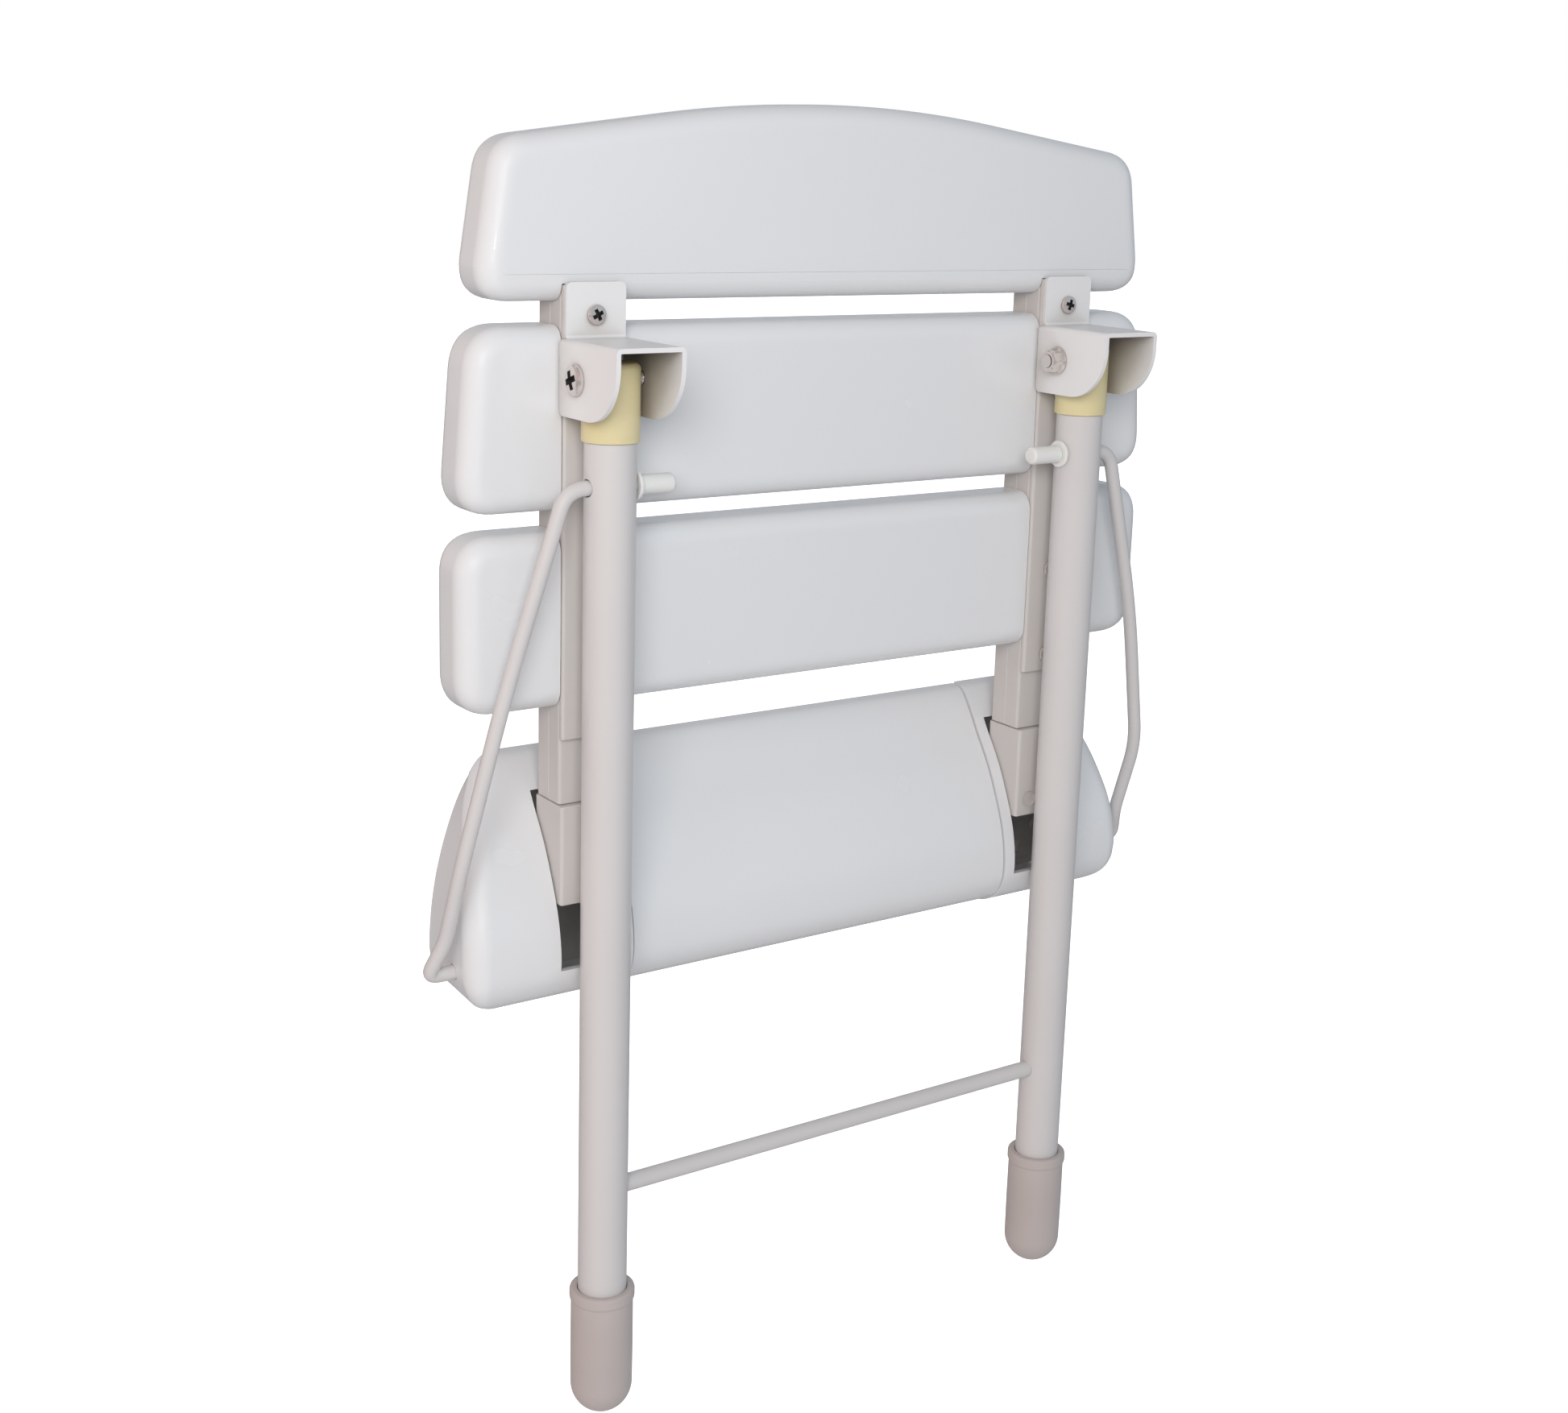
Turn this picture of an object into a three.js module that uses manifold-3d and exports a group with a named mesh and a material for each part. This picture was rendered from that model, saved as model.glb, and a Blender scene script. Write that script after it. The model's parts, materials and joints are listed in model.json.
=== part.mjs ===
// Wall-hung folding shower seat with two drop legs, modelled folded up.
// Millimetres, +Z up. The wall is the plane Y = 0, the room is on the -Y side,
// and X = 0 is the plane of symmetry. Everything is built for the +X side and mirrored.
import * as THREE from "three";
import { mergeVertices } from "three/addons/utils/BufferGeometryUtils.js";
import Module from "manifold-3d";

const wasm = await Module();
wasm.setup();

// ---- layout -----------------------------------------------------------------
const SIDES = [["left", -1], ["right", 1]];
const ARM_X = 128.5; // centre line of an arm, its bracket and its leg
const ARM_PIVOT = { y: -28, z: 10 };
const LEG_PIVOT = { y: -60, z: 223 };
const LINK_DROP = 44.5; // a link is pinned this far below the arm pivot and the leg pivot
const LINK_TOP = { y: LEG_PIVOT.y, z: LEG_PIVOT.z - LINK_DROP };
const LINK_FOOT = { y: ARM_PIVOT.y, z: ARM_PIVOT.z - LINK_DROP };
const FIT = 0.2; // clearance left between pieces that touch
const BEYOND = 5; // how far a cutting tool reaches past the skin it cuts
const WELD = 1e-4;
const ROUND = 20; // segments round a visible circle
const SMALL_ROUND = 12; // segments round a screw or a hole

// ---- slats ------------------------------------------------------------------
const SLAT_FRONT = -44;
const SLAT_BACK = -16;
const SLAT_EDGE = 9; // bullnose radius
const SLAT_CORNER = 18;
const SLATS = {
  slat_front_edge: { bottom: 253, top: 318, lowHalf: 181, highHalf: 171, arch: 18, highCorner: 13 },
  slat_middle: { bottom: 166, top: 243.5, lowHalf: 188.5, highHalf: 182.5, arch: 0, highCorner: 18 },
  slat_rear: { bottom: 81, top: 157.5, lowHalf: 188.5, highHalf: 188.5, arch: 0, highCorner: 18 },
};
const ARCH_STEPS = 12;
const ARCH_BEND = 0.5; // share of the half width over which the arch curves; beyond it, it is straight

// ---- arms, rails and knuckles -----------------------------------------------
const ARM = { half: 13.5, front: -42, back: -22, bottom: 38.3, top: 283, wall: 2, corner: 2.5 };
const RAIL = { half: 13.7, front: -45, bottom: 67.5, top: 260, corner: 1.8 };
const KNUCKLE = { half: 14.2, front: -45.5, back: -21.5, bottom: -7, top: 38, corner: 2 };
const SPIGOT_LENGTH = 24;
const LUG = { half: 10.5, radius: 9, bottom: -16, top: 36 };
const AXLE_RADIUS = 4;
const DIMPLE = { x: ARM_X - 6, z: 1.5, radius: 4.2, depth: 1.4 };

// ---- leg brackets, measured from the leg pivot --------------------------------
const BRACKET = { half: 16, gauge: 2, front: -32.5, back: 14.8, bottom: -16, top: 15.5 };
const BRACKET_NOSE = 26; // radius of the lower front corner of each cheek
const BRACKET_BEND = 3;
const TAB = { half: 14, top: 38.3, corner: 2.5, screw: 25 };

// ---- legs -------------------------------------------------------------------
const LEG = { radius: 11, wall: 1.5, bottom: -225 };
const PLUG = { radius: 12.2, top: 7, bottom: -25.6, chamfer: 2, spigot: 14 };
const CROSS_ROD = { radius: 4, z: -138 };
const FOOT = { tip: -246.5, top: -185, radius: 14, bead: 0.7, beadHeight: 5 };

// ---- links ------------------------------------------------------------------
const LINK_RADIUS = 3.25;
const LINK_INNER_X = 101; // free end of the upper pin, on the inner side of the leg
const LINK_BEND_X = 149;
const LINK_WAIST = [174, -55.6, 96];
const LINK_ELBOW = [189.6, -49.2, 27];
const LINK_HEEL = [192.4, -35, -17];
const LINK_OUTER_X = 198;
const LINK_EAR_X = 166; // free end of the lower pin, inside the housing
const LINK_FILLET = 6;
const LINK_STEPS = 40;
const WASHER = { radius: 6.4, thick: 1.6 };
const SLEEVE = { radius: 4.2, end: 98.5 };

// ---- wall housing -----------------------------------------------------------
// rows of [z, front y, half width] down the outside of the housing
const HOUSING_ROWS = [
  [54, -2, 151], [52, -8, 160], [44, -14.5, 167], [33, -21.5, 173], [18, -31.5, 178.5],
  [3, -39, 182.5], [-10, -44.3, 184.8], [-22, -47.2, 186], [-33, -48, 186.3],
  [-41, -46.5, 184.5], [-48, -42, 180], [-53, -33.5, 172], [-55, -26, 167],
];
const HOUSING_LEVELS = 18;
const HOUSING_BACK = -0.5;
const HOUSING_WALL = 3;
const HOUSING_CORNER = 10; // plan radius, tighter towards the lower edge
const HOUSING_LOW_CORNER = 3;
const CORNER_GROWTH = 0.35;
const HOUSING_DRAFT = 2.3; // the ends lean in this much towards the wall
const CORNER_STEPS = 4;
const SEAM_X = 107;
const COVER_INSET = 0.6; // the middle cover sits this much inside the end caps
const COVER_WALL = 2.4;
const SLOT = { half: 15, bottom: -36, top: 41 };

// ---- wall plate and what is riveted to it -------------------------------------
const PLATE = { gauge: 3, half: 166, topHalf: 154, bottom: -51.6, shoulder: 10, top: 47.8, corner: 3 };
const FLANGE_FRONT = -6;
const WALL_HOLES = { x: 60, z: 28, radius: 4 };
const EAR = { inner: 172, outer: 175, root: 146, front: -38, bottom: -46, top: -23, corner: 9 };
const RIVETS = [[ARM_X, -10], [ARM_X, 29], [151, EAR.bottom + 6], [162, EAR.top - 6]];
const RIVET = { head: 3.4, headHeight: 1.4, shank: 1.9 };

// ---- screws, bolts and nuts ---------------------------------------------------
const SCREW = { head: 4.2, headHeight: 2, shank: 2 };
const RAIL_SCREWS = [[205, 26], [119, 26], [76, 9]]; // [height, length]
const TAB_SCREW_LENGTH = 11;
const BOLT = { head: 6.5, headHeight: 3.4, shank: 3, end: -23.5 };
const NUT = { flange: 6.5, flangeThick: 1.3, across: 10, thick: 5 };
const RECESS = { long: 0.62, wide: 0.2, deep: 0.6 }; // shares of head radius and head height
const DOME_STEPS = 3;

// ---- colours ------------------------------------------------------------------
const GLOSS_WHITE = { color: 0xe6e9ee, roughness: 0.25, metalness: 0 };
const COATED_WHITE = { color: 0xe2dfdd, roughness: 0.45, metalness: 0 };
const CREAM = { color: 0xd8cf9c, roughness: 0.5, metalness: 0 };
const GREY_RUBBER = { color: 0xb4aaa6, roughness: 0.8, metalness: 0 };
const STAINLESS = { color: 0xb4b4b6, roughness: 0.3, metalness: 0.9 };
const ZINC = { color: 0x9a9ca0, roughness: 0.5, metalness: 0.8 };
const NYLON = { color: 0xe4e2de, roughness: 0.55, metalness: 0 };

// ---- solids -------------------------------------------------------------------
function signedVolume(geometry) {
  const points = geometry.attributes.position;
  const index = geometry.index;
  const [a, b, c] = [new THREE.Vector3(), new THREE.Vector3(), new THREE.Vector3()];
  let total = 0;
  for (let i = 0; i < index.count; i += 3) {
    a.fromBufferAttribute(points, index.getX(i));
    b.fromBufferAttribute(points, index.getX(i + 1));
    c.fromBufferAttribute(points, index.getX(i + 2));
    total += a.dot(b.cross(c));
  }
  return total;
}

// Joins equal corners, drops triangles without area and turns the skin outwards.
function weld(geometry) {
  const bare = geometry.clone();
  bare.deleteAttribute("normal");
  bare.deleteAttribute("uv");
  const welded = mergeVertices(bare, WELD);
  const kept = [];
  for (let i = 0; i < welded.index.count; i += 3) {
    const corners = [0, 1, 2].map((k) => welded.index.getX(i + k));
    if (new Set(corners).size === 3) {
      kept.push(...corners);
    }
  }
  welded.setIndex(kept);
  if (signedVolume(welded) < 0) {
    welded.setIndex(kept.reverse());
  }
  return welded;
}

function toSolid(geometry) {
  const welded = weld(geometry);
  return new wasm.Manifold(new wasm.Mesh({
    numProp: 3,
    vertProperties: new Float32Array(welded.attributes.position.array),
    triVerts: new Uint32Array(welded.index.array),
  }));
}

function toGeometry(solid) {
  const mesh = solid.getMesh();
  const geometry = new THREE.BufferGeometry();
  geometry.setAttribute("position", new THREE.Float32BufferAttribute(mesh.vertProperties, 3));
  geometry.setIndex(Array.from(mesh.triVerts));
  geometry.computeVertexNormals();
  return geometry;
}

function unite(...pieces) {
  return toGeometry(pieces.map(toSolid).reduce((sum, piece) => sum.add(piece)));
}

function subtract(body, ...tools) {
  return toGeometry(tools.map(toSolid).reduce((rest, tool) => rest.subtract(tool), toSolid(body)));
}

function intersect(body, tool) {
  return toGeometry(toSolid(body).intersect(toSolid(tool)));
}

// ---- shapes -------------------------------------------------------------------
// Closed outline through the corners; each corner is eased over its own distance.
function easedOutline(corners) {
  const shape = new THREE.Shape();
  corners.forEach(([x, y, ease = 0], i) => {
    const corner = new THREE.Vector2(x, y);
    const [before, after] = [-1, 1].map((step) => {
      const other = corners[(i + step + corners.length) % corners.length];
      const towards = new THREE.Vector2(other[0], other[1]).sub(corner).normalize();
      return corner.clone().addScaledVector(towards, ease);
    });
    if (i === 0) {
      shape.moveTo(before.x, before.y);
    } else {
      shape.lineTo(before.x, before.y);
    }
    if (ease > 0) {
      shape.quadraticCurveTo(corner.x, corner.y, after.x, after.y);
    }
  });
  shape.closePath();
  return shape;
}

function easedBox(x0, x1, y0, y1, ease) {
  return easedOutline([[x0, y0, ease], [x1, y0, ease], [x1, y1, ease], [x0, y1, ease]]);
}

function extrude(shape, depth, options = {}) {
  return new THREE.ExtrudeGeometry(shape, { depth, bevelEnabled: false, curveSegments: 4, ...options });
}

// Outline in (y, z), pushed along X.
function alongX(shape, x0, x1) {
  const turn = new THREE.Matrix4().makeBasis(
    new THREE.Vector3(0, 1, 0), new THREE.Vector3(0, 0, 1), new THREE.Vector3(1, 0, 0));
  return extrude(shape, x1 - x0).applyMatrix4(turn).translate(x0, 0, 0);
}

// Outline in (x, z), pushed along Y.
function alongY(shape, y0, y1) {
  return extrude(shape, y1 - y0).rotateX(Math.PI / 2).translate(0, y1, 0);
}

// Outline in (x, y), pushed along Z.
function alongZ(shape, z0, z1) {
  return extrude(shape, z1 - z0).translate(0, 0, z0);
}

function block(x0, x1, y0, y1, z0, z1) {
  const box = new THREE.BoxGeometry(x1 - x0, y1 - y0, z1 - z0);
  return box.translate((x0 + x1) / 2, (y0 + y1) / 2, (z0 + z1) / 2);
}

function pinX(radius, x0, x1, at, segments = SMALL_ROUND) {
  const pin = new THREE.CylinderGeometry(radius, radius, x1 - x0, segments);
  return pin.rotateZ(Math.PI / 2).translate((x0 + x1) / 2, at.y, at.z);
}

function pinY(radius, x, y0, y1, z) {
  const pin = new THREE.CylinderGeometry(radius, radius, y1 - y0, SMALL_ROUND);
  return pin.translate(x, (y0 + y1) / 2, z);
}

// Profile of [radius, height] turned about an upright axis.
function turnedZ(profile, at, segments = ROUND) {
  const points = profile.map(([radius, z]) => new THREE.Vector2(radius, z));
  return new THREE.LatheGeometry(points, segments).rotateX(Math.PI / 2).translate(at.x, at.y, 0);
}

function mirrorX(geometry) {
  return weld(geometry.clone().scale(-1, 1, 1));
}

function onSide(geometry, side) {
  return side < 0 ? mirrorX(geometry) : geometry;
}

// Quarter ellipse from the axis to the rim, for domed heads and feet.
function dome(radius, height, rimLevel) {
  return Array.from({ length: DOME_STEPS + 1 }, (_, i) => {
    const angle = (i / DOME_STEPS) * Math.PI / 2;
    return [radius * Math.sin(angle), rimLevel - height * Math.cos(angle)];
  });
}

// ---- fasteners: head towards -Y, its seat at Y = 0, shank towards +Y ------------
function headed({ head, headHeight, shank }, length) {
  const profile = [...dome(head, headHeight, 0), [shank, 0], [shank, length], [0, length]];
  const points = profile.map(([radius, y]) => new THREE.Vector2(radius, y));
  return new THREE.LatheGeometry(points, SMALL_ROUND);
}

function crossHeaded(kind, length) {
  const reach = kind.head * RECESS.long;
  const width = kind.head * RECESS.wide;
  const floor = -kind.headHeight * (1 - RECESS.deep);
  const flat = block(-reach, reach, -kind.headHeight - BEYOND, floor, -width, width);
  const upright = block(-width, width, -kind.headHeight - BEYOND, floor, -reach, reach);
  return subtract(headed(kind, length), flat, upright);
}

function screwAt(x, y, z, length) {
  return crossHeaded(SCREW, length).translate(x, y, z);
}

// ---- slats --------------------------------------------------------------------
function archPoints({ top, highHalf, arch }) {
  const steps = arch > 0 ? ARCH_STEPS : 0;
  return Array.from({ length: Math.max(steps - 1, 0) }, (_, i) => {
    const share = 1 - (2 * (i + 1)) / steps;
    return [highHalf * share, top + arch * (1 - archDrop(Math.abs(share)) / archDrop(1))];
  });
}

// Fall of the arch at a share of the half width: a parabola that runs out into a straight line.
function archDrop(share) {
  return share < ARCH_BEND ? share * share : ARCH_BEND * (2 * share - ARCH_BEND);
}

function slatBlank(slat) {
  const { bottom, top, lowHalf, highHalf, highCorner } = slat;
  const outline = easedOutline([
    [-lowHalf, bottom, SLAT_CORNER],
    [lowHalf, bottom, SLAT_CORNER],
    [highHalf, top, highCorner],
    ...archPoints(slat),
    [-highHalf, top, highCorner],
  ]);
  const flat = SLAT_BACK - SLAT_FRONT - 2 * SLAT_EDGE;
  const rounded = extrude(outline, flat, {
    bevelEnabled: true,
    bevelThickness: SLAT_EDGE,
    bevelSize: SLAT_EDGE,
    bevelOffset: -SLAT_EDGE,
    bevelSegments: 3,
  });
  return rounded.rotateX(Math.PI / 2).translate(0, SLAT_BACK - SLAT_EDGE, 0);
}

// Room for the arm, which stops inside the front slat and runs through the others.
function armPocket() {
  const half = ARM.half + FIT;
  return block(ARM_X - half, ARM_X + half, ARM.front - FIT, ARM.back + FIT, 0, ARM.top + FIT);
}

function railPocket() {
  const half = RAIL.half + FIT;
  return block(ARM_X - half, ARM_X + half, SLAT_FRONT - BEYOND, ARM.front, 0, RAIL.top + FIT);
}

function railScrewHoles() {
  return RAIL_SCREWS.map(([z, length]) => {
    return pinY(SCREW.shank + FIT, ARM_X, RAIL.front - BEYOND, RAIL.front + length + FIT, z);
  });
}

function slatGeometry(slat) {
  const tools = [armPocket(), railPocket(), ...railScrewHoles()];
  return subtract(slatBlank(slat), ...tools, ...tools.map(mirrorX));
}

// ---- arm, rail and knuckle ------------------------------------------------------
function tabScrewHole() {
  const z = LEG_PIVOT.z + TAB.screw;
  return pinY(SCREW.shank + FIT, ARM_X, RAIL.front - BEYOND, RAIL.front + TAB_SCREW_LENGTH, z);
}

function armGeometry() {
  const { half, front, back, bottom, top, wall, corner } = ARM;
  const section = easedBox(ARM_X - half, ARM_X + half, front, back, corner);
  const bore = easedBox(ARM_X - half + wall, ARM_X + half - wall, front + wall, back - wall, corner - 1);
  section.holes.push(bore);
  return subtract(alongZ(section, bottom, top), tabScrewHole(), ...railScrewHoles());
}

function railGeometry() {
  const { half, front, bottom, top, corner } = RAIL;
  const back = ARM.front - FIT;
  const section = easedOutline([
    [ARM_X - half, back],
    [ARM_X - half, front, corner],
    [ARM_X + half, front, corner],
    [ARM_X + half, back],
  ]);
  return subtract(alongZ(section, bottom, top), tabScrewHole(), ...railScrewHoles());
}

function knuckleGeometry() {
  const { half, front, back, bottom, top, corner } = KNUCKLE;
  const body = alongZ(easedBox(ARM_X - half, ARM_X + half, front, back, corner), bottom, top);
  const inset = ARM.wall + FIT;
  const spigotHalf = ARM.half - inset;
  const section = easedBox(
    ARM_X - spigotHalf, ARM_X + spigotHalf, ARM.front + inset, ARM.back - inset, corner);
  const spigot = alongZ(section, top - BEYOND, top + SPIGOT_LENGTH);
  const room = LUG.half + FIT;
  const reach = LUG.radius + 1;
  const channel = block(
    ARM_X - room, ARM_X + room, ARM_PIVOT.y - reach, BEYOND, bottom - BEYOND, ARM_PIVOT.z + reach);
  const bore = pinX(AXLE_RADIUS + FIT, ARM_X - half - 1, ARM_X + half + 1, ARM_PIVOT);
  const dimple = pinY(DIMPLE.radius, DIMPLE.x, front - BEYOND, front + DIMPLE.depth, DIMPLE.z);
  return subtract(unite(body, spigot), channel, bore, dimple);
}

function axleGeometry() {
  const half = KNUCKLE.half - FIT;
  return pinX(AXLE_RADIUS, ARM_X - half, ARM_X + half, ARM_PIVOT);
}

// ---- leg bracket and its pivot bolt -----------------------------------------------
function bracketSkin() {
  const { half, gauge, front, back, bottom, top } = BRACKET;
  const low = bottom - BEYOND;
  const outer = easedOutline([
    [ARM_X - half, low], [ARM_X + half, low],
    [ARM_X + half, top, BRACKET_BEND], [ARM_X - half, top, BRACKET_BEND],
  ]);
  const inner = easedOutline([
    [ARM_X - half + gauge, low - 1], [ARM_X + half - gauge, low - 1],
    [ARM_X + half - gauge, top - gauge, BRACKET_BEND - 1],
    [ARM_X - half + gauge, top - gauge, BRACKET_BEND - 1],
  ]);
  return subtract(alongY(outer, front, back), alongY(inner, front - 1, back + 1));
}

function bracketGeometry() {
  const { half, gauge, front, back, bottom, top } = BRACKET;
  const cheek = easedOutline([
    [front, bottom, BRACKET_NOSE], [back, bottom, TAB.corner], [back, top], [front, top],
  ]);
  const skin = intersect(bracketSkin(), alongX(cheek, ARM_X - half - 1, ARM_X + half + 1));
  const tab = easedOutline([
    [ARM_X - TAB.half, top - gauge], [ARM_X + TAB.half, top - gauge],
    [ARM_X + TAB.half, TAB.top, TAB.corner], [ARM_X - TAB.half, TAB.top, TAB.corner],
  ]);
  const screwHole = pinY(SCREW.shank + FIT, ARM_X, back - BEYOND, back + 1, TAB.screw);
  const boltHole = pinX(BOLT.shank + FIT, ARM_X - half - 1, ARM_X + half + 1, { y: 0, z: 0 });
  const whole = unite(skin, alongY(tab, back - gauge, back));
  return subtract(whole, screwHole, boltHole).translate(0, LEG_PIVOT.y, LEG_PIVOT.z);
}

function boltGeometry() {
  const seat = BRACKET.half + FIT / 2;
  const bolt = crossHeaded(BOLT, seat - BOLT.end).rotateZ(Math.PI / 2);
  return bolt.translate(ARM_X + seat, LEG_PIVOT.y, LEG_PIVOT.z);
}

function nutGeometry() {
  const bore = new THREE.Path().absarc(0, 0, BOLT.shank + 2 * FIT, 0, Math.PI * 2, true);
  const round = new THREE.Shape().absarc(0, 0, NUT.flange, 0, Math.PI * 2, false);
  const hexRadius = NUT.across / Math.sqrt(3);
  const hex = new THREE.Shape(Array.from({ length: 6 }, (_, i) => {
    const angle = (i * Math.PI) / 3;
    return new THREE.Vector2(hexRadius * Math.cos(angle), hexRadius * Math.sin(angle));
  }));
  round.holes.push(bore);
  hex.holes.push(bore);
  const seat = ARM_X - BRACKET.half - FIT / 2;
  const flange = alongX(round, seat - NUT.flangeThick, seat);
  const body = alongX(hex, seat - NUT.flangeThick - NUT.thick, seat - NUT.flangeThick / 2);
  return unite(flange, body).translate(0, LEG_PIVOT.y, LEG_PIVOT.z);
}

// ---- leg ------------------------------------------------------------------------
function legGeometry() {
  const inner = LEG.radius - LEG.wall;
  const top = LEG_PIVOT.z + PLUG.bottom - FIT;
  const profile = [
    [inner, LEG.bottom], [LEG.radius, LEG.bottom], [LEG.radius, top], [inner, top], [inner, LEG.bottom],
  ];
  const tube = turnedZ(profile, { x: ARM_X, y: LEG_PIVOT.y });
  const across = LEG.radius + 1;
  const linkHole = pinX(LINK_RADIUS + 2 * FIT, ARM_X - across, ARM_X + across, LINK_TOP);
  const rodAt = { y: LEG_PIVOT.y, z: CROSS_ROD.z };
  const rodHole = pinX(CROSS_ROD.radius + FIT, ARM_X - across, ARM_X, rodAt);
  return subtract(tube, linkHole, rodHole);
}

function plugGeometry() {
  const spigotRadius = LEG.radius - LEG.wall - FIT;
  const edge = PLUG.radius - PLUG.chamfer;
  const profile = [
    [0, PLUG.bottom - PLUG.spigot], [spigotRadius, PLUG.bottom - PLUG.spigot],
    [spigotRadius, PLUG.bottom], [PLUG.radius, PLUG.bottom],
    [PLUG.radius, PLUG.top - PLUG.chamfer], [edge, PLUG.top], [0, PLUG.top],
  ];
  const body = turnedZ(profile, { x: ARM_X, y: 0 });
  const bore = pinX(BOLT.shank + FIT, ARM_X - PLUG.radius - 1, ARM_X + PLUG.radius + 1, { y: 0, z: 0 });
  return subtract(body, bore).translate(0, LEG_PIVOT.y, LEG_PIVOT.z);
}

function footGeometry() {
  const { tip, top, radius, bead, beadHeight } = FOOT;
  const bore = LEG.radius + FIT;
  const floor = LEG.bottom - FIT;
  const profile = [
    ...dome(radius, radius, tip + radius),
    [radius, top - beadHeight], [radius + bead, top - beadHeight + 1],
    [radius + bead, top - 1], [radius, top], [bore, top], [bore, floor], [0, floor],
  ];
  return turnedZ(profile, { x: ARM_X, y: LEG_PIVOT.y });
}

function crossRodGeometry() {
  const half = ARM_X - LEG.radius + LEG.wall - FIT;
  return pinX(CROSS_ROD.radius, -half, half, { y: LEG_PIVOT.y, z: CROSS_ROD.z }, ROUND);
}

// ---- link -----------------------------------------------------------------------
function linkCorners() {
  return [
    [LINK_INNER_X, LINK_TOP.y, LINK_TOP.z],
    [LINK_BEND_X, LINK_TOP.y, LINK_TOP.z],
    LINK_WAIST,
    LINK_ELBOW,
    LINK_HEEL,
    [LINK_OUTER_X, LINK_FOOT.y, LINK_FOOT.z],
    [LINK_EAR_X, LINK_FOOT.y, LINK_FOOT.z],
  ].map((corner) => new THREE.Vector3(...corner));
}

// Straight runs joined by short bends.
function linkPath() {
  const corners = linkCorners();
  const path = new THREE.CurvePath();
  let from = corners[0];
  for (let i = 1; i < corners.length - 1; i += 1) {
    const corner = corners[i];
    const [before, after] = [corners[i - 1], corners[i + 1]].map((other) => {
      const towards = other.clone().sub(corner).normalize();
      return corner.clone().addScaledVector(towards, LINK_FILLET);
    });
    path.add(new THREE.LineCurve3(from, before));
    path.add(new THREE.QuadraticBezierCurve3(before, corner, after));
    from = after;
  }
  path.add(new THREE.LineCurve3(from, corners[corners.length - 1]));
  return path;
}

function linkGeometry() {
  const section = new THREE.Shape().absarc(0, 0, LINK_RADIUS, 0, Math.PI * 2, false);
  const rod = new THREE.ExtrudeGeometry(section, {
    steps: LINK_STEPS,
    curveSegments: 4,
    bevelEnabled: false,
    extrudePath: linkPath(),
  });
  return toGeometry(toSolid(rod));
}

function ringX(radius, x0, x1, at) {
  const ring = pinX(radius, x0, x1, at);
  return subtract(ring, pinX(LINK_RADIUS + FIT, x0 - 1, x1 + 1, at));
}

function upperWasherGeometry() {
  const seat = ARM_X - LEG.radius - FIT;
  return ringX(WASHER.radius, seat - WASHER.thick, seat, LINK_TOP);
}

function lowerWasherGeometry() {
  const seat = EAR.inner - FIT;
  return ringX(WASHER.radius, seat - WASHER.thick, seat, LINK_FOOT);
}

function sleeveGeometry() {
  const start = ARM_X - LEG.radius - WASHER.thick - 2 * FIT;
  const body = pinX(SLEEVE.radius, SLEEVE.end, start, LINK_TOP);
  const bore = pinX(LINK_RADIUS + FIT, LINK_INNER_X - FIT, start + 1, LINK_TOP);
  return subtract(body, bore);
}

// ---- housing --------------------------------------------------------------------
function housingLevels() {
  const rows = HOUSING_ROWS.map(([z, front, half]) => new THREE.Vector3(half, front, z));
  return new THREE.CatmullRomCurve3(rows, false, "centripetal").getSpacedPoints(HOUSING_LEVELS);
}

// Plan outline of an end cap at one level, from the seam round the corner to the wall.
function capRing(level, inset, seam, back) {
  const front = level.y + inset;
  const half = level.x - inset;
  const lowest = HOUSING_ROWS[HOUSING_ROWS.length - 1][0];
  const radius = Math.min(
    HOUSING_CORNER,
    (HOUSING_BACK - front) * 0.8,
    HOUSING_LOW_CORNER + (level.z - lowest) * CORNER_GROWTH,
  );
  const corner = Array.from({ length: CORNER_STEPS + 1 }, (_, i) => {
    const angle = (i / CORNER_STEPS) * Math.PI / 2;
    const x = half - radius + radius * Math.sin(angle);
    return [x, front + radius - radius * Math.cos(angle)];
  });
  return [[seam, back], [seam, front], ...corner, [half - HOUSING_DRAFT, back]];
}

// Skin over a stack of rings that all have the same number of points.
function loft(rings, levels) {
  const count = rings[0].length;
  const positions = rings.flatMap((ring, k) => ring.flatMap(([x, y]) => [x, y, levels[k]]));
  const index = [];
  for (let k = 0; k < rings.length - 1; k += 1) {
    for (let i = 0; i < count; i += 1) {
      const here = k * count + i;
      const next = k * count + (i + 1) % count;
      index.push(here, next, next + count, here, next + count, here + count);
    }
  }
  const last = (rings.length - 1) * count;
  const flat = (ring) => ring.map(([x, y]) => new THREE.Vector2(x, y));
  for (const [a, b, c] of THREE.ShapeUtils.triangulateShape(flat(rings[0]), [])) {
    index.push(c, b, a);
  }
  for (const [a, b, c] of THREE.ShapeUtils.triangulateShape(flat(rings[rings.length - 1]), [])) {
    index.push(last + a, last + b, last + c);
  }
  const geometry = new THREE.BufferGeometry();
  geometry.setAttribute("position", new THREE.Float32BufferAttribute(positions, 3));
  geometry.setIndex(index);
  return geometry;
}

// The levels between two heights, with one put in at each height.
function levelsBetween(lowest, highest) {
  const levels = housingLevels();
  const inside = levels.filter(({ z }) => z > lowest + FIT && z < highest - FIT);
  const [first, last] = [highest, lowest].map((height) => {
    const start = Math.max(levels.findLastIndex(({ z }) => z > height + WELD), 0);
    const [above, below] = levels.slice(start);
    return above.clone().lerp(below, (above.z - height) / (above.z - below.z));
  });
  return [first, ...inside, last];
}

function capStack(inset, seam, back, lowest, highest) {
  const levels = levelsBetween(lowest, highest);
  return loft(levels.map((level) => capRing(level, inset, seam, back)), levels.map(({ z }) => z));
}

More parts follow.
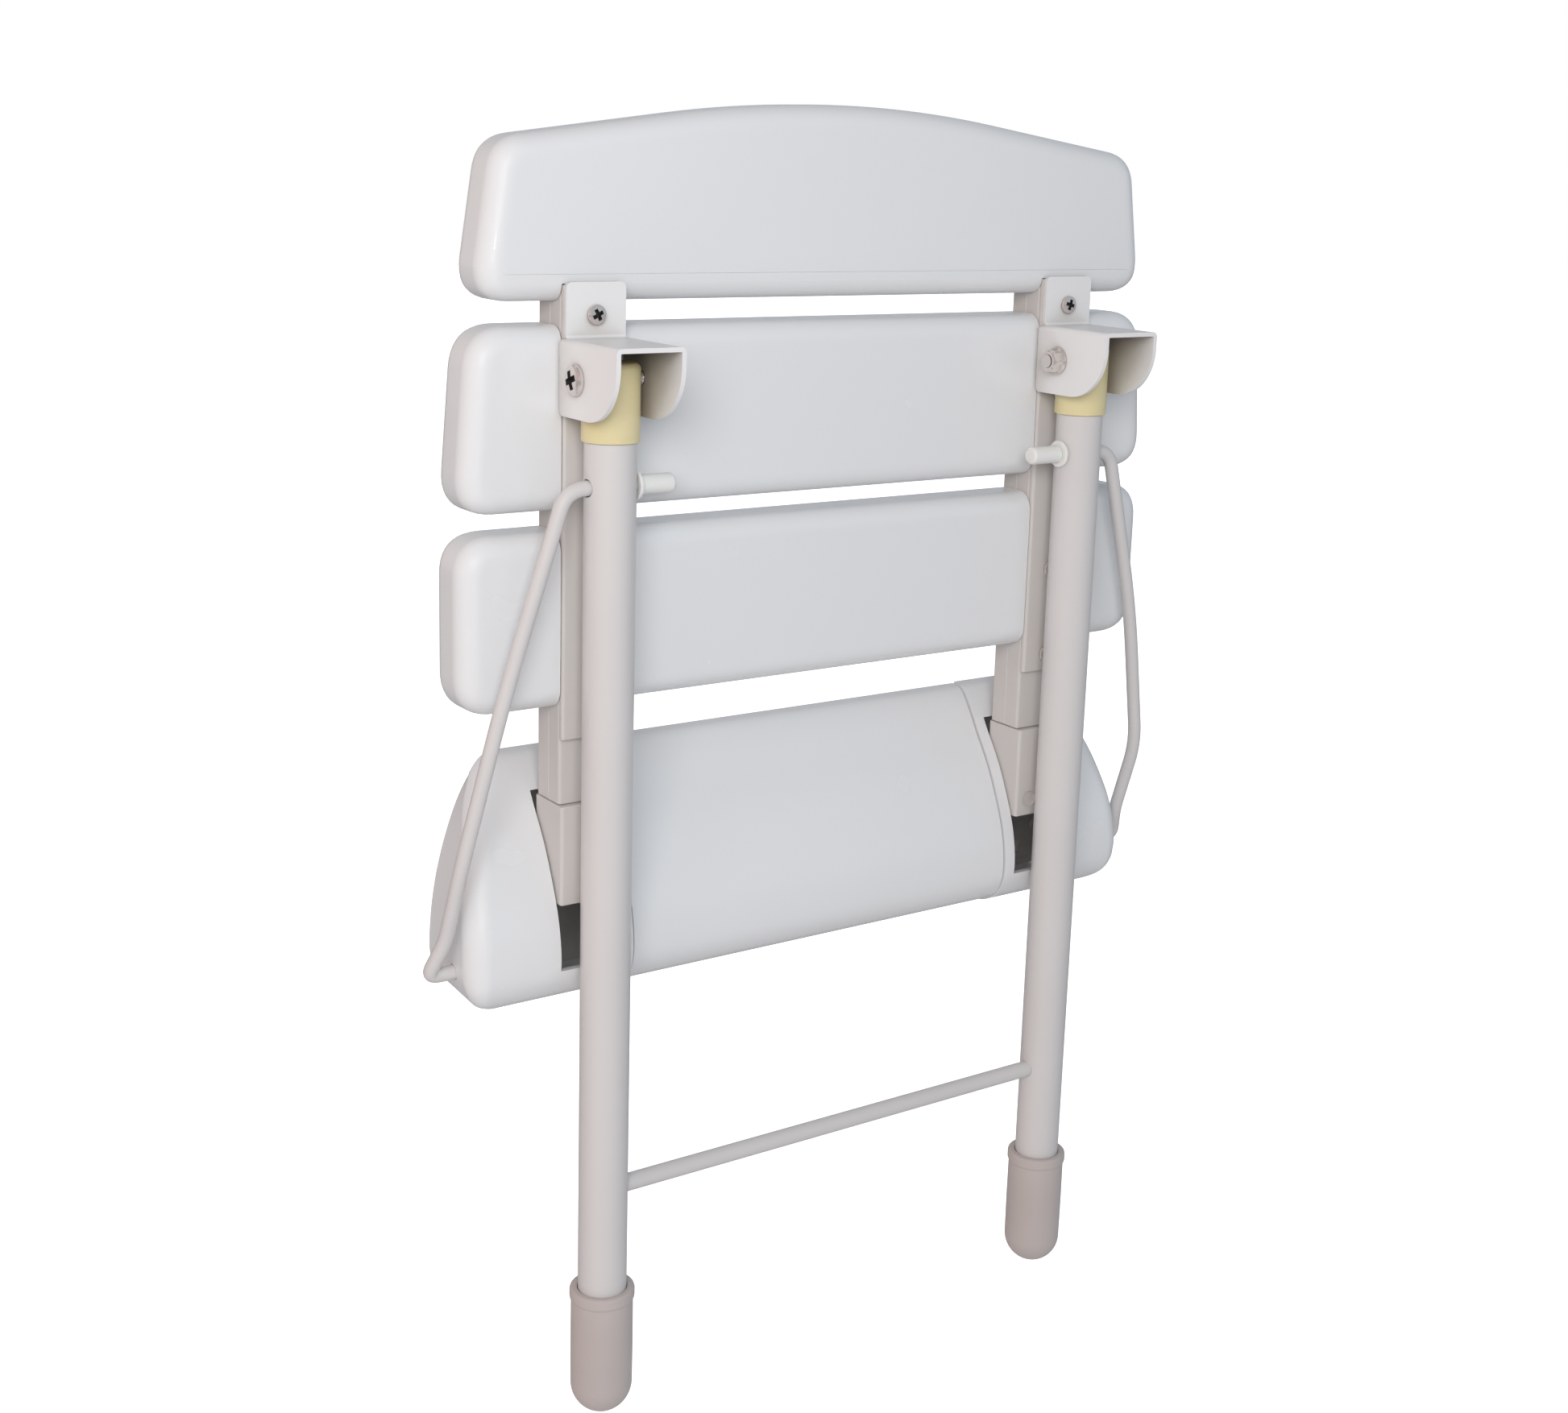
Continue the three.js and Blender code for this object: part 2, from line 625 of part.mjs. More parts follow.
function capGeometry() {
  const top = HOUSING_ROWS[0][0];
  const bottom = HOUSING_ROWS[HOUSING_ROWS.length - 1][0];
  const outer = capStack(0, SEAM_X + FIT, HOUSING_BACK, bottom, top);
  const inner = capStack(
    HOUSING_WALL, SEAM_X - BEYOND, BEYOND, bottom + HOUSING_WALL, top - HOUSING_WALL);
  const slot = block(
    ARM_X - SLOT.half, ARM_X + SLOT.half, -LEG.radius + LEG_PIVOT.y, BEYOND, SLOT.bottom, SLOT.top);
  const linkHole = pinX(LINK_RADIUS + 1.5, EAR.outer, LINK_OUTER_X, LINK_FOOT);
  return subtract(outer, inner, slot, linkHole);
}

function coverGeometry() {
  const levels = housingLevels();
  const outline = (inset) => levels.map(({ y, z }) => {
    const squeeze = 1 - inset / levels[0].z;
    return new THREE.Vector2(Math.min(y + inset, HOUSING_BACK - FIT), z * squeeze);
  });
  const shapeOf = (line, back) => new THREE.Shape([
    new THREE.Vector2(back, line[0].y), ...line, new THREE.Vector2(back, line[line.length - 1].y),
  ]);
  const half = SEAM_X - FIT;
  const outer = alongX(shapeOf(outline(COVER_INSET), HOUSING_BACK), -half, half);
  const inset = COVER_INSET + COVER_WALL;
  const inner = alongX(shapeOf(outline(inset), BEYOND), -half - 1, half + 1);
  return subtract(outer, inner);
}

// ---- wall plate -------------------------------------------------------------------
function rivetHoles() {
  return RIVETS.map(([x, z]) => pinY(RIVET.shank + FIT, x, FLANGE_FRONT - BEYOND, BEYOND, z));
}

function plateGeometry() {
  const { gauge, half, topHalf, bottom, shoulder, top, corner } = PLATE;
  const outline = easedOutline([
    [-half, bottom, corner], [half, bottom, corner], [half, shoulder, corner],
    [topHalf, top, corner], [-topHalf, top, corner], [-half, shoulder, corner],
  ]);
  const wallHoles = [-1, 1].map((up) => {
    return pinY(WALL_HOLES.radius, WALL_HOLES.x, -gauge - 1, 1, up * WALL_HOLES.z);
  });
  const holes = [...wallHoles, ...rivetHoles()];
  return subtract(alongY(outline, -gauge, 0), ...holes, ...holes.map(mirrorX));
}

function lugGeometry() {
  const { half, radius, bottom, top } = LUG;
  const { y, z } = ARM_PIVOT;
  const profile = new THREE.Shape();
  profile.moveTo(FLANGE_FRONT + 1, z + radius);
  profile.lineTo(y, z + radius);
  profile.absarc(y, z, radius, Math.PI / 2, Math.PI * 1.5, false);
  profile.lineTo(FLANGE_FRONT + 1, z - radius);
  profile.closePath();
  const tongue = alongX(profile, ARM_X - half, ARM_X + half);
  const flange = block(ARM_X - half, ARM_X + half, FLANGE_FRONT, -PLATE.gauge - FIT / 2, bottom, top);
  const bore = pinX(AXLE_RADIUS + FIT, ARM_X - half - 1, ARM_X + half + 1, ARM_PIVOT);
  return subtract(unite(tongue, flange), bore, ...rivetHoles());
}

function earGeometry() {
  const { inner, outer, root, front, bottom, top, corner } = EAR;
  const seat = -PLATE.gauge - FIT / 2;
  const profile = easedOutline([
    [front, bottom, corner], [seat, bottom], [seat, top], [front, top, corner],
  ]);
  const flange = block(root, outer, FLANGE_FRONT, seat, bottom, top);
  const bore = pinX(LINK_RADIUS + 2 * FIT, inner - 1, outer + 1, LINK_FOOT);
  return subtract(unite(alongX(profile, inner, outer), flange), bore, ...rivetHoles());
}

function rivetGeometry([x, z]) {
  const rivet = headed(RIVET, -FLANGE_FRONT - FIT);
  return weld(rivet.translate(x, FLANGE_FRONT - FIT / 2, z));
}

function tabScrewGeometry() {
  const seat = LEG_PIVOT.y + BRACKET.back - BRACKET.gauge - FIT / 2;
  return screwAt(ARM_X, seat, LEG_PIVOT.z + TAB.screw, TAB_SCREW_LENGTH);
}

function railScrewGeometry([z, length]) {
  return screwAt(ARM_X, RAIL.front - FIT / 2, z, length);
}

// ---- assembly ---------------------------------------------------------------------
const PAIRED = [
  ["end_cap", capGeometry, GLOSS_WHITE],
  ["hinge_lug", lugGeometry, ZINC],
  ["link_ear", earGeometry, ZINC],
  ["axle", axleGeometry, ZINC],
  ["knuckle", knuckleGeometry, COATED_WHITE],
  ["arm", armGeometry, COATED_WHITE],
  ["rail", railGeometry, COATED_WHITE],
  ["bracket", bracketGeometry, COATED_WHITE],
  ["pivot_bolt", boltGeometry, STAINLESS],
  ["pivot_nut", nutGeometry, STAINLESS],
  ["leg", legGeometry, COATED_WHITE],
  ["leg_plug", plugGeometry, CREAM],
  ["foot", footGeometry, GREY_RUBBER],
  ["link", linkGeometry, COATED_WHITE],
  ["link_washer", upperWasherGeometry, NYLON],
  ["link_sleeve", sleeveGeometry, NYLON],
  ["link_clip", lowerWasherGeometry, ZINC],
  ["tab_screw", tabScrewGeometry, STAINLESS],
  ...RAIL_SCREWS.map((screw, i) => {
    return [`rail_screw_${i + 1}`, () => railScrewGeometry(screw), STAINLESS];
  }),
  ...RIVETS.map((rivet, i) => [`rivet_${i + 1}`, () => rivetGeometry(rivet), ZINC]),
];

const SINGLE = [
  ["wall_plate", plateGeometry, ZINC],
  ["middle_cover", coverGeometry, GLOSS_WHITE],
  ["cross_rod", crossRodGeometry, COATED_WHITE],
];

function meshOf(name, geometry, finish) {
  const mesh = new THREE.Mesh(geometry, new THREE.MeshStandardMaterial(finish));
  mesh.name = name;
  return mesh;
}

function assemble() {
  const seat = new THREE.Group();
  seat.name = "folding_shower_seat";
  for (const [name, slat] of Object.entries(SLATS)) {
    seat.add(meshOf(name, slatGeometry(slat), GLOSS_WHITE));
  }
  for (const [name, build, finish] of SINGLE) {
    seat.add(meshOf(name, build(), finish));
  }
  for (const [side, sign] of SIDES) {
    for (const [name, build, finish] of PAIRED) {
      seat.add(meshOf(`${side}_${name}`, onSide(build(), sign), finish));
    }
  }
  return seat;
}

export default assemble();
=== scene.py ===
import json
import math

import bmesh
import bpy
from mathutils import Matrix, Vector


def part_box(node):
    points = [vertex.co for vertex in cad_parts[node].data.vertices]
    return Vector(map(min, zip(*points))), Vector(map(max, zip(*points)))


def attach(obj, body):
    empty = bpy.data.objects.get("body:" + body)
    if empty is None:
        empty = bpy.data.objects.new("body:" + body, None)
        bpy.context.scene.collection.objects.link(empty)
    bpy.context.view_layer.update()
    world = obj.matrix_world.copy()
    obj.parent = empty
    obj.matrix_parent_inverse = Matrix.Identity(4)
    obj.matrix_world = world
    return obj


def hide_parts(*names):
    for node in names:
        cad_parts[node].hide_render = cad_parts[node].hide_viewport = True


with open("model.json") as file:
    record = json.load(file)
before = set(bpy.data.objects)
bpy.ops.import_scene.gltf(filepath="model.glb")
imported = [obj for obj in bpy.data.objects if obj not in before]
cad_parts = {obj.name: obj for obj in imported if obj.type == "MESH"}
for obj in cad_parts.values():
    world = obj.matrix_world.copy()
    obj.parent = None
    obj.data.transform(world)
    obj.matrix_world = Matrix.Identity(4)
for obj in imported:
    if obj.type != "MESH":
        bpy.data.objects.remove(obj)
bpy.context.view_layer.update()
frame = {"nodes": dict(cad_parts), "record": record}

MM = 0.001
SIDES = {"left": -1, "right": 1}
BODY_OF = {n: body for body, nodes in frame["record"]["behaviour"]["bodies"].items() for n in nodes}
SLOT_OF = {part["node"]: part["material_slot"] for part in frame["record"]["subparts"]}

# ---- driving sizes, in millimetres unless a comment or a name says otherwise ------
ROUND = 64  # segments round a leg or a foot
ROD_ROUND = 48  # segments round the cross rod or a nut
FINE_ROUND = 32  # segments round a wire, a screw or a washer
EASE_STEPS = 10
GAP = 0.45  # clearance round a piece that sits in a pocket
FIT = 0.1  # clearance round a wire or a rod in its hole
PAST = 1.0  # how far a drill reaches past the faces it goes through
BEYOND = 5.0  # how far a larger cutting tool reaches past the skin it cuts
SHARP_DEGREES = 38
SAME_PLACE = 1e-5  # metres

SLATS = {
    "slat_front_edge": {"low_half": 181.0, "high_half": 171.0, "arch": 18.0, "high_corner": 13.0},
    "slat_middle": {"low_half": 188.5, "high_half": 182.5, "arch": 0.0, "high_corner": 18.0},
    "slat_rear": {"low_half": 188.5, "high_half": 188.5, "arch": 0.0, "high_corner": 18.0},
}
SLAT_EDGE = 9.0
SLAT_CORNER = 18.0
ARCH_STEPS = 40
ARCH_BEND = 0.5  # share of the half width over which the arch curves; beyond it, it is straight
NOSE_STEPS = 9
FLAT_RIM = 1.5

ARM_WALL = 2.0
ARM_CORNER = 1.6
ARM_LINE = {"back": 10.4, "half": 0.35, "deep": 0.3}
RAIL_CORNER = 1.6
RAIL_EDGE = 0.5
KNUCKLE_CORNER = 1.7
KNUCKLE_EDGE = 0.5
SPIGOT_ROOT = 3.0  # how deep inside the knuckle its spigot starts
AXLE_BORE = 4.2  # radius
ARM_PIVOT_Y = -28.0
ARM_PIVOT_Z = 10.0
CHANNEL = {"half": 10.7, "reach": 10.0}
DIMPLE = {"shift": -6.0, "z": 1.5, "radius": 4.2, "deep": 1.4}

SHEET = 2.0
SHEET_BEND = 2.4
SHEET_EDGE = 0.45
CHEEK_NOSE = 23.5
CHEEK_HEEL = 2.5
TAB = {"half": 14.0, "corner": 2.6, "bend": 1.4, "root": 1.6}
PLATE_ABOVE_PLUG = 8.5
BOLT_BORE = 3.2  # radius
CHEEK_STEPS = 26
HEEL_STEPS = 6
CHEEK_ROWS = 6  # points up the straight part of a cheek
BEND_STEPS = 8
TAB_BEND_STEPS = 6
TAB_CORNER_STEPS = 8

LEG_WALL = 1.5
PLUG_WIDE_BOTTOM = 25.6  # below the pivot
PLUG_SPIGOT = 14.0
PLUG_FIT = 0.2
PLUG_CHAMFER = 0.6
PLUG_SHOULDER = ((0.5, 0.0), (0.12, 0.15), (0.0, 0.6))  # (in from the side, up from the step)
PLUG_CROWN = ((0.0, 2.4), (0.25, 1.5), (0.8, 0.75), (1.6, 0.2), (2.6, 0.0))  # (in, down from the top)
LINK_BELOW = 44.5  # the link pin is this far below the leg pivot
LINK_HOLE_ROOM = 0.6  # clearance of the link's pin in the leg
ROD_CHAMFER = 0.6
FOOT_LIP = 5.2
FOOT_BEAD = 0.7
FOOT_FIT = 0.2
FOOT_SWELL = 0.1  # how far the side bulges half way up
FOOT_NECK = ((0.0, 0.9), (0.12, 0.35))  # (out from the side, down from the lip)
FOOT_LIP_EDGE = ((0.15, 0.15), (0.0, 0.8))  # (in from the bead, up from the lip)
FOOT_RIM_OUTSIDE = ((0.0, 1.4), (0.25, 0.6), (0.8, 0.12), (1.4, 0.0))  # (in from the bead, down)
FOOT_RIM_INSIDE = ((0.6, 0.0), (0.15, 0.25), (0.0, 0.8))  # (out from the bore, down from the top)
DOME_STEPS = 14

LINK_RADIUS = 3.25
LINK_WAIST = (174.0, -55.6, 96.0)
LINK_ELBOW = (190.5, -48.7, 22.5)
LINK_HEEL = (192.4, -35.0, -17.0)
LINK_BEND_X = 149.0
LINK_OUTER_X = 198.0
EAR_END_X = 166.0
LINK_FILLETS = (9.0, 26.0, 12.0, 6.0, 6.0)
FILLET_STEPS = 9
WIRE_END = {"small": 0.75, "back": 0.25}  # shares of the wire's radius
WASHER_EDGE = 0.35
SLEEVE = {"round": 1.6, "chamfer": 0.4, "gap": 0.2}
SLEEVE_STEPS = 7

# rows of (height, front y, half width) down the outside of the housing
HOUSING_ROWS = (
    (54.0, -2.0, 151.0), (52.0, -8.0, 160.0), (44.0, -14.5, 167.0), (33.0, -21.5, 173.0),
    (18.0, -31.5, 178.5), (3.0, -39.0, 182.5), (-10.0, -44.3, 184.8), (-22.0, -47.2, 186.0),
    (-33.0, -48.0, 186.3), (-41.0, -46.5, 184.5), (-48.0, -42.0, 180.0), (-53.0, -33.5, 172.0),
    (-55.0, -26.0, 167.0),
)
HOUSING_LEVELS = 72
SPLINE_STEPS = 24  # points between two rows, before they are spaced evenly
HOUSING_BACK = -0.5
HOUSING_CORNER = 10.0  # plan radius, tighter towards the lower edge
HOUSING_LOW_CORNER = 3.0
CORNER_GROWTH = 0.35
HOUSING_DRAFT = 2.3  # the ends lean in this much towards the wall
HOUSING_WALL = 3.0
CORNER_STEPS = 14
CORNER_DEPTH = 0.8  # a corner is never rounder than this share of the housing's depth
FRONT_STEPS = 8
SEAM_X = 107.0
SEAM_GAP = 0.4
PIN_ROOM = 0.3  # clearance round the link where it enters the housing
COVER_INSET = 0.6
COVER_WALL = 2.4
COVER_LIP = 0.2  # the cover's inner face stays this far off the wall
SLOT = {"half": 15.0, "bottom": -36.0, "top": 38.5}
SEAM_EDGE = 0.5

HEAD_RIM = 0.3  # share of a screw head's height that its rim stands
HEAD_BULGE = 0.6  # below 1, a head is fuller than a dome
HEAD_STEPS = 9
HEAD_EDGE = 0.12
CROSS = {"long": 0.62, "wide": 0.2, "deep": 0.75}  # shares of the head's radius and height
CROSS_TAPER = (1.1, 0.8)  # scale of the cross above the head and at its bottom
CROSS_TURN = {"left": 28, "right": 15}  # degrees
THREAD = {"start": 0.6, "pitch": 1.0, "deep": 0.4, "tip": 1.5}
FRONT_SCREW = {"height": 2.0, "shank": 2.0}
BOLT = {"height": 3.4, "shank": 3.0, "turn": 20}
SCREW_EDGE = 0.08
NUT = {"flats": 10.0, "bore": 3.15, "lip": 0.6, "bevel": 0.3, "slope": 1.0}
NUT_CROWN = ((0.0, 0.0), (4.4, 0.0), (5.1, 0.5), (6.2, 1.4))  # (radius, in from the free end)
NUT_SKIRT = {"top": 4.9, "height": 2.0}
NUT_EDGE = 0.12
HIDDEN_EDGE = 0.2
RIVETS = (1, 2, 3, 4)

# ---- finishes: scales, shares and tints -------------------------------------------
NOISE_SPAN = (0.15, 0.85)  # the part of a noise's range that its ramp runs over
NOISE_ROUGHNESS = 0.5
MOTTLE_DETAIL = 1.5
WEAR = {"scale": 3, "detail": 2.5}  # scale: against the mottle
# painted shade: a corner's colour is darkened where walls close it in, standing in for the shadow there
PAINTED_SHADE_SPAN = (0.3, 0.7)
PAINTED_SHADE_SAMPLES = 8
SCREW_PAINTED_SHADE = (1.3, (0.1, 0.09, 0.09))  # painted shade: (reach in mm, tint painted in the deepest corner)
BRACKET_PAINTED_SHADE = (30, (0.42, 0.38, 0.32))

# ---- stage: metres, degrees and watts ---------------------------------------------
FLOOR_Z = -0.4915
FLOOR_HALF = 12.0
FLOOR_GREY = 0.8
FLOOR_ROUGHNESS = 0.9
CAMERA_AT = (-0.55601, -0.81396, 0.31689)
CAMERA_YAW = 34.879
CAMERA_PITCH = 12.769
CAMERA_ROLL = 1.754
CAMERA_LENS = 48.51
CAMERA_SENSOR = 36
CAMERA_SHIFT = (-0.01065, -0.0503)
CAMERA_CLIP = (0.01, 100)
LIGHT_AIM = (0, -0.03, 0.1)
# name: place, size, watts, colour, whether it shows in reflections
LIGHTS = {
    "key": ((-0.75, -1.10, 0.60), (0.8, 0.6), 11, (1.0, 0.985, 0.975), False),
    "side": ((-1.60, -0.45, 0.25), (0.9, 0.9), 2, (1.0, 0.84, 0.78), False),
    "glint": ((-0.60, -0.90, 0.36), (0.014, 0.014), 0.16, (1, 1, 1), True),
}
ROOM_BASE = (0.245, 0.24, 0.24)
# axis, which way along it, and the light that is added from there
ROOM_GLOW = (
    ("X", -1, (0.24, 0.12, 0.08)), ("Y", -1, (0.13, 0.185, 0.225)),
    ("X", 1, (0.11, 0.17, 0.23)), ("Y", 1, (0.22, 0.22, 0.23)),
)
WHITE = (1, 1, 1, 1)


# ---- meshes ---------------------------------------------------------------------
def loft(rings):
    """Skin over rings that all have the same number of points, closed by a flat face at each end."""
    count = len(rings[0])
    points = [point for ring in rings for point in ring]
    faces = []
    for level in range(len(rings) - 1):
        for i in range(count):
            j = (i + 1) % count
            here, above = level * count, (level + 1) * count
            faces.append((here + i, here + j, above + j, above + i))
    faces.append(tuple(range(count)))
    faces.append(tuple(range((len(rings) - 1) * count, len(rings) * count)))
    return points, faces


def pipe(outer, inner):
    """Closed skin of a tube: outer and inner are (first end ring, last end ring)."""
    count = len(outer[0])
    points = [p for ring in (outer[0], outer[1], inner[1], inner[0]) for p in ring]
    faces = []
    for level in range(4):
        here, above = level * count, ((level + 1) % 4) * count
        for i in range(count):
            j = (i + 1) % count
            faces.append((here + i, here + j, above + j, above + i))
    return points, faces


def grid(rows):
    """Open sheet over rows that all have the same number of points."""
    count = len(rows[0])
    points = [point for row in rows for point in row]
    faces = []
    for level in range(len(rows) - 1):
        for i in range(count - 1):
            here, above = level * count, (level + 1) * count
            faces.append((here + i, here + i + 1, above + i + 1, above + i))
    return points, faces


def turned(profile, centre, axis="Z", segments=ROUND):
    """Solid of revolution. profile is [(radius, distance along the axis)], closed on the axis."""
    rings = []
    for radius, along in profile:
        ring = []
        for i in range(segments):
            angle = 2 * math.pi * i / segments
            a, b = radius * math.cos(angle), radius * math.sin(angle)
            offset = {"X": (along, a, b), "Y": (a, along, b), "Z": (a, b, along)}[axis]
            ring.append(tuple(c + o for c, o in zip(centre, offset)))
        rings.append(ring)
    return loft(rings)


def new_object(name, shape):
    """A clean mesh object in the scene, from a shape in millimetres."""
    points, faces = shape
    mesh = bpy.data.meshes.new(name)
    mesh.from_pydata([Vector(p) * MM for p in points], [], faces)
    clean(mesh)
    made = bpy.data.objects.new(name, mesh)
    bpy.context.scene.collection.objects.link(made)
    return made


def clean(mesh):
    """Drops doubled points and empty faces, and turns every face outward."""
    work = bmesh.new()
    work.from_mesh(mesh)
    bmesh.ops.remove_doubles(work, verts=work.verts, dist=1e-6)
    bmesh.ops.dissolve_degenerate(work, edges=work.edges, dist=1e-7)
    bmesh.ops.recalc_face_normals(work, faces=work.faces)
    work.to_mesh(mesh)
    work.free()


def freeze(made):
    """Turns the modifiers of an object into its mesh."""
    bpy.context.view_layer.update()
    ready = made.evaluated_get(bpy.context.evaluated_depsgraph_get())
    mesh = bpy.data.meshes.new_from_object(ready)
    old = made.data
    made.modifiers.clear()
    made.data = mesh
    mesh.name = old.name
    bpy.data.meshes.remove(old)


def merge(made, other, how="UNION"):
    """Joins another object on, or cuts or trims with it, and keeps only the result."""
    step = made.modifiers.new("merge", "BOOLEAN")
    step.operation = how
    step.solver = "EXACT"
    step.material_mode = "TRANSFER"
    step.object = other
    freeze(made)
    mesh = other.data
    bpy.data.objects.remove(other)
    bpy.data.meshes.remove(mesh)


def combine(made, shape, how="DIFFERENCE", finish=None):
    """Merges a shape into an object. The faces that it leaves can take a finish of their own."""
    tool = new_object("tool", shape)
    if finish:
        tool.data.materials.append(FINISH[finish])
    merge(made, tool, how)


def soften(made, width, segments=2, degrees=50):
    """Rounds every edge sharper than the given angle."""
    step = made.modifiers.new("soften", "BEVEL")
    step.width = width * MM
    step.segments = segments
    step.limit_method = "ANGLE"
    step.angle_limit = math.radians(degrees)
    step.harden_normals = False
    step.use_clamp_overlap = True
    freeze(made)


def shade(made):
    """Smooth shading that stays crisp along the sharp edges."""
    made.data.shade_smooth()
    made.data.set_sharp_from_angle(angle=math.radians(SHARP_DEGREES))
    step = made.modifiers.new("even_normals", "WEIGHTED_NORMAL")
    step.keep_sharp = True
    freeze(made)


def stand_for(made, node, finish=None):
    """The object takes the place, body and finish of one CAD node."""
    shade(made)
    if not made.data.materials:
        made.data.materials.append(None)
    made.data.materials[0] = FINISH[finish or SLOT_OF[node]]
    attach(made, BODY_OF[node])
    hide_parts(node)
    return made


def mirrored(shape, sign):
    """A shape drawn for the right side, as it is (sign 1) or on the left (sign -1)."""
    points, faces = shape
    return [(sign * x, y, z) for x, y, z in points], faces


# ---- outlines -------------------------------------------------------------------
def eased(corners, steps=EASE_STEPS):
    """Closed outline through (a, b, ease) corners, each eased over its own distance."""
    outline = []
    for i, (a, b, ease) in enumerate(corners):
        corner = Vector((a, b))
        if ease == 0:
            outline.append(corner)
            continue
        ends = []
        for other in (corners[i - 1], corners[(i + 1) % len(corners)]):
            towards = (Vector(other[:2]) - corner).normalized()
            ends.append(corner + towards * ease)
        for k in range(steps + 1):
            t = k / steps
            outline.append(ends[0] * (1 - t) ** 2 + corner * 2 * t * (1 - t) + ends[1] * t * t)
    return outline


def box_outline(a0, a1, b0, b1, ease):
    return eased([(a0, b0, ease), (a1, b0, ease), (a1, b1, ease), (a0, b1, ease)])


def inward(outline, distance):
    """The same outline moved inward along its own normals. It must run anticlockwise."""
    moved = []
    for i, point in enumerate(outline):
        along = (outline[(i + 1) % len(outline)] - outline[i - 1]).normalized()
        moved.append(point + Vector((-along.y, along.x)) * distance)
    return moved


def block(x0, x1, y0, y1, z0, z1):
    corners = [(x0, y0), (x1, y0), (x1, y1), (x0, y1)]
    return loft([[(x, y, z) for x, y in corners] for z in (z0, z1)])


def both_sides(shape):
    """A shape together with its mirror image."""
    points, faces = shape
    count = len(points)
    return (
        points + [(-x, y, z) for x, y, z in points],
        faces + [tuple(i + count for i in face) for face in faces],
    )


def rod_x(radius, x0, x1, y, z):
    return turned([(radius, x0), (radius, x1)], (0, y, z), "X", FINE_ROUND)


def in_mm(node):
    """Lowest and highest corner of a CAD node, in millimetres."""
    low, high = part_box(node)
    return low / MM, high / MM


ARM_LOW, ARM_HIGH = in_mm("right_arm")
ARM_X = (ARM_LOW.x + ARM_HIGH.x) / 2
RAIL_LOW, RAIL_HIGH = in_mm("right_rail")
LEG_LOW, LEG_HIGH = in_mm("right_leg")
LEG_Y = (LEG_LOW.y + LEG_HIGH.y) / 2
LEG_RADIUS = (LEG_HIGH.x - LEG_LOW.x) / 2
PLUG_LOW, PLUG_HIGH = in_mm("right_leg_plug")
PIVOT_Z = PLUG_LOW.z + PLUG_WIDE_BOTTOM + PLUG_SPIGOT
LINK_Z = PIVOT_Z - LINK_BELOW
LINK_FOOT_Z = ARM_PIVOT_Z - LINK_BELOW


# ---- finishes -------------------------------------------------------------------
def noise(nodes, links, coords, scale, detail):
    made = nodes.new("ShaderNodeTexNoise")
    made.inputs["Scale"].default_value = scale
    made.inputs["Detail"].default_value = detail
    made.inputs["Roughness"].default_value = NOISE_ROUGHNESS
    links.new(coords.outputs["Object"], made.inputs["Vector"])
    return made


def ramp(nodes, links, source, low, high, span=NOISE_SPAN):
    made = nodes.new("ShaderNodeValToRGB")
    first, last = made.color_ramp.elements
    first.position, last.position = span
    first.color, last.color = (*low, 1), (*high, 1)
    links.new(source.outputs[0], made.inputs["Fac"])
    return made


def spread(nodes, links, source, low, high):
    made = nodes.new("ShaderNodeMapRange")
    made.inputs["From Min"].default_value, made.inputs["From Max"].default_value = NOISE_SPAN
    made.inputs["To Min"].default_value = low
    made.inputs["To Max"].default_value = high
    links.new(source.outputs[0], made.inputs["Value"])
    return made


def bumps(nodes, links, layers):
    """Stacked bump nodes: layers are (noise node, height in millimetres)."""
    last = None
    for source, height in layers:
        made = nodes.new("ShaderNodeBump")
        made.inputs["Distance"].default_value = height * MM
        links.new(source.outputs[0], made.inputs["Height"])
        if last:
            links.new(last.outputs["Normal"], made.inputs["Normal"])
        last = made
    return last


def with_painted_shade(nodes, links, colour, reach, deepest):
    """Painted shade: the colour, multiplied by the deepest tint where walls within the reach in mm close it
    in, standing in for the shadow in a corner.
    """
    closed = nodes.new("ShaderNodeAmbientOcclusion")
    closed.inputs["Distance"].default_value = reach * MM
    closed.samples = PAINTED_SHADE_SAMPLES
    deep = ramp(nodes, links, closed, deepest, WHITE[:3], PAINTED_SHADE_SPAN)
    mix = nodes.new("ShaderNodeMix")
    mix.data_type = "RGBA"
    mix.blend_type = "MULTIPLY"
    mix.inputs["Factor"].default_value = 1
    links.new(colour.outputs["Color"], mix.inputs["A"])
    links.new(deep.outputs["Color"], mix.inputs["B"])
    return mix.outputs["Result"]


def surface(name, tints, gloss, broad, layers, fixed=None, recess=None):
    """tints: two colours mottled at the broad scale; gloss: lowest and highest roughness;
    layers: (scale, detail, height in mm) of each bump; fixed: plain socket values;
    recess: painted shade: how near, in mm, a wall must be for a corner's colour to be darkened, and the tint
    painted in the deepest corner."""
    made = bpy.data.materials.new(name)
    made.use_nodes = True
    nodes, links = made.node_tree.nodes, made.node_tree.links
    shader = nodes["Principled BSDF"]
    coords = nodes.new("ShaderNodeTexCoord")
    mottle = noise(nodes, links, coords, broad, MOTTLE_DETAIL)
    colour = ramp(nodes, links, mottle, *tints)
    # painted shade in the corners, multiplied into the base colour
    painted = with_painted_shade(nodes, links, colour, *recess) if recess else colour.outputs["Color"]
    links.new(painted, shader.inputs["Base Color"])
    wear = noise(nodes, links, coords, broad * WEAR["scale"], WEAR["detail"])
    dull = spread(nodes, links, wear, *gloss)
    links.new(dull.outputs[0], shader.inputs["Roughness"])
    grain = [(noise(nodes, links, coords, scale, detail), height) for scale, detail, height in layers]
    links.new(bumps(nodes, links, grain).outputs["Normal"], shader.inputs["Normal"])
    for socket, value in (fixed or {}).items():
        shader.inputs[socket].default_value = value
    made.diffuse_color = (*tints[0], 1)
    return made


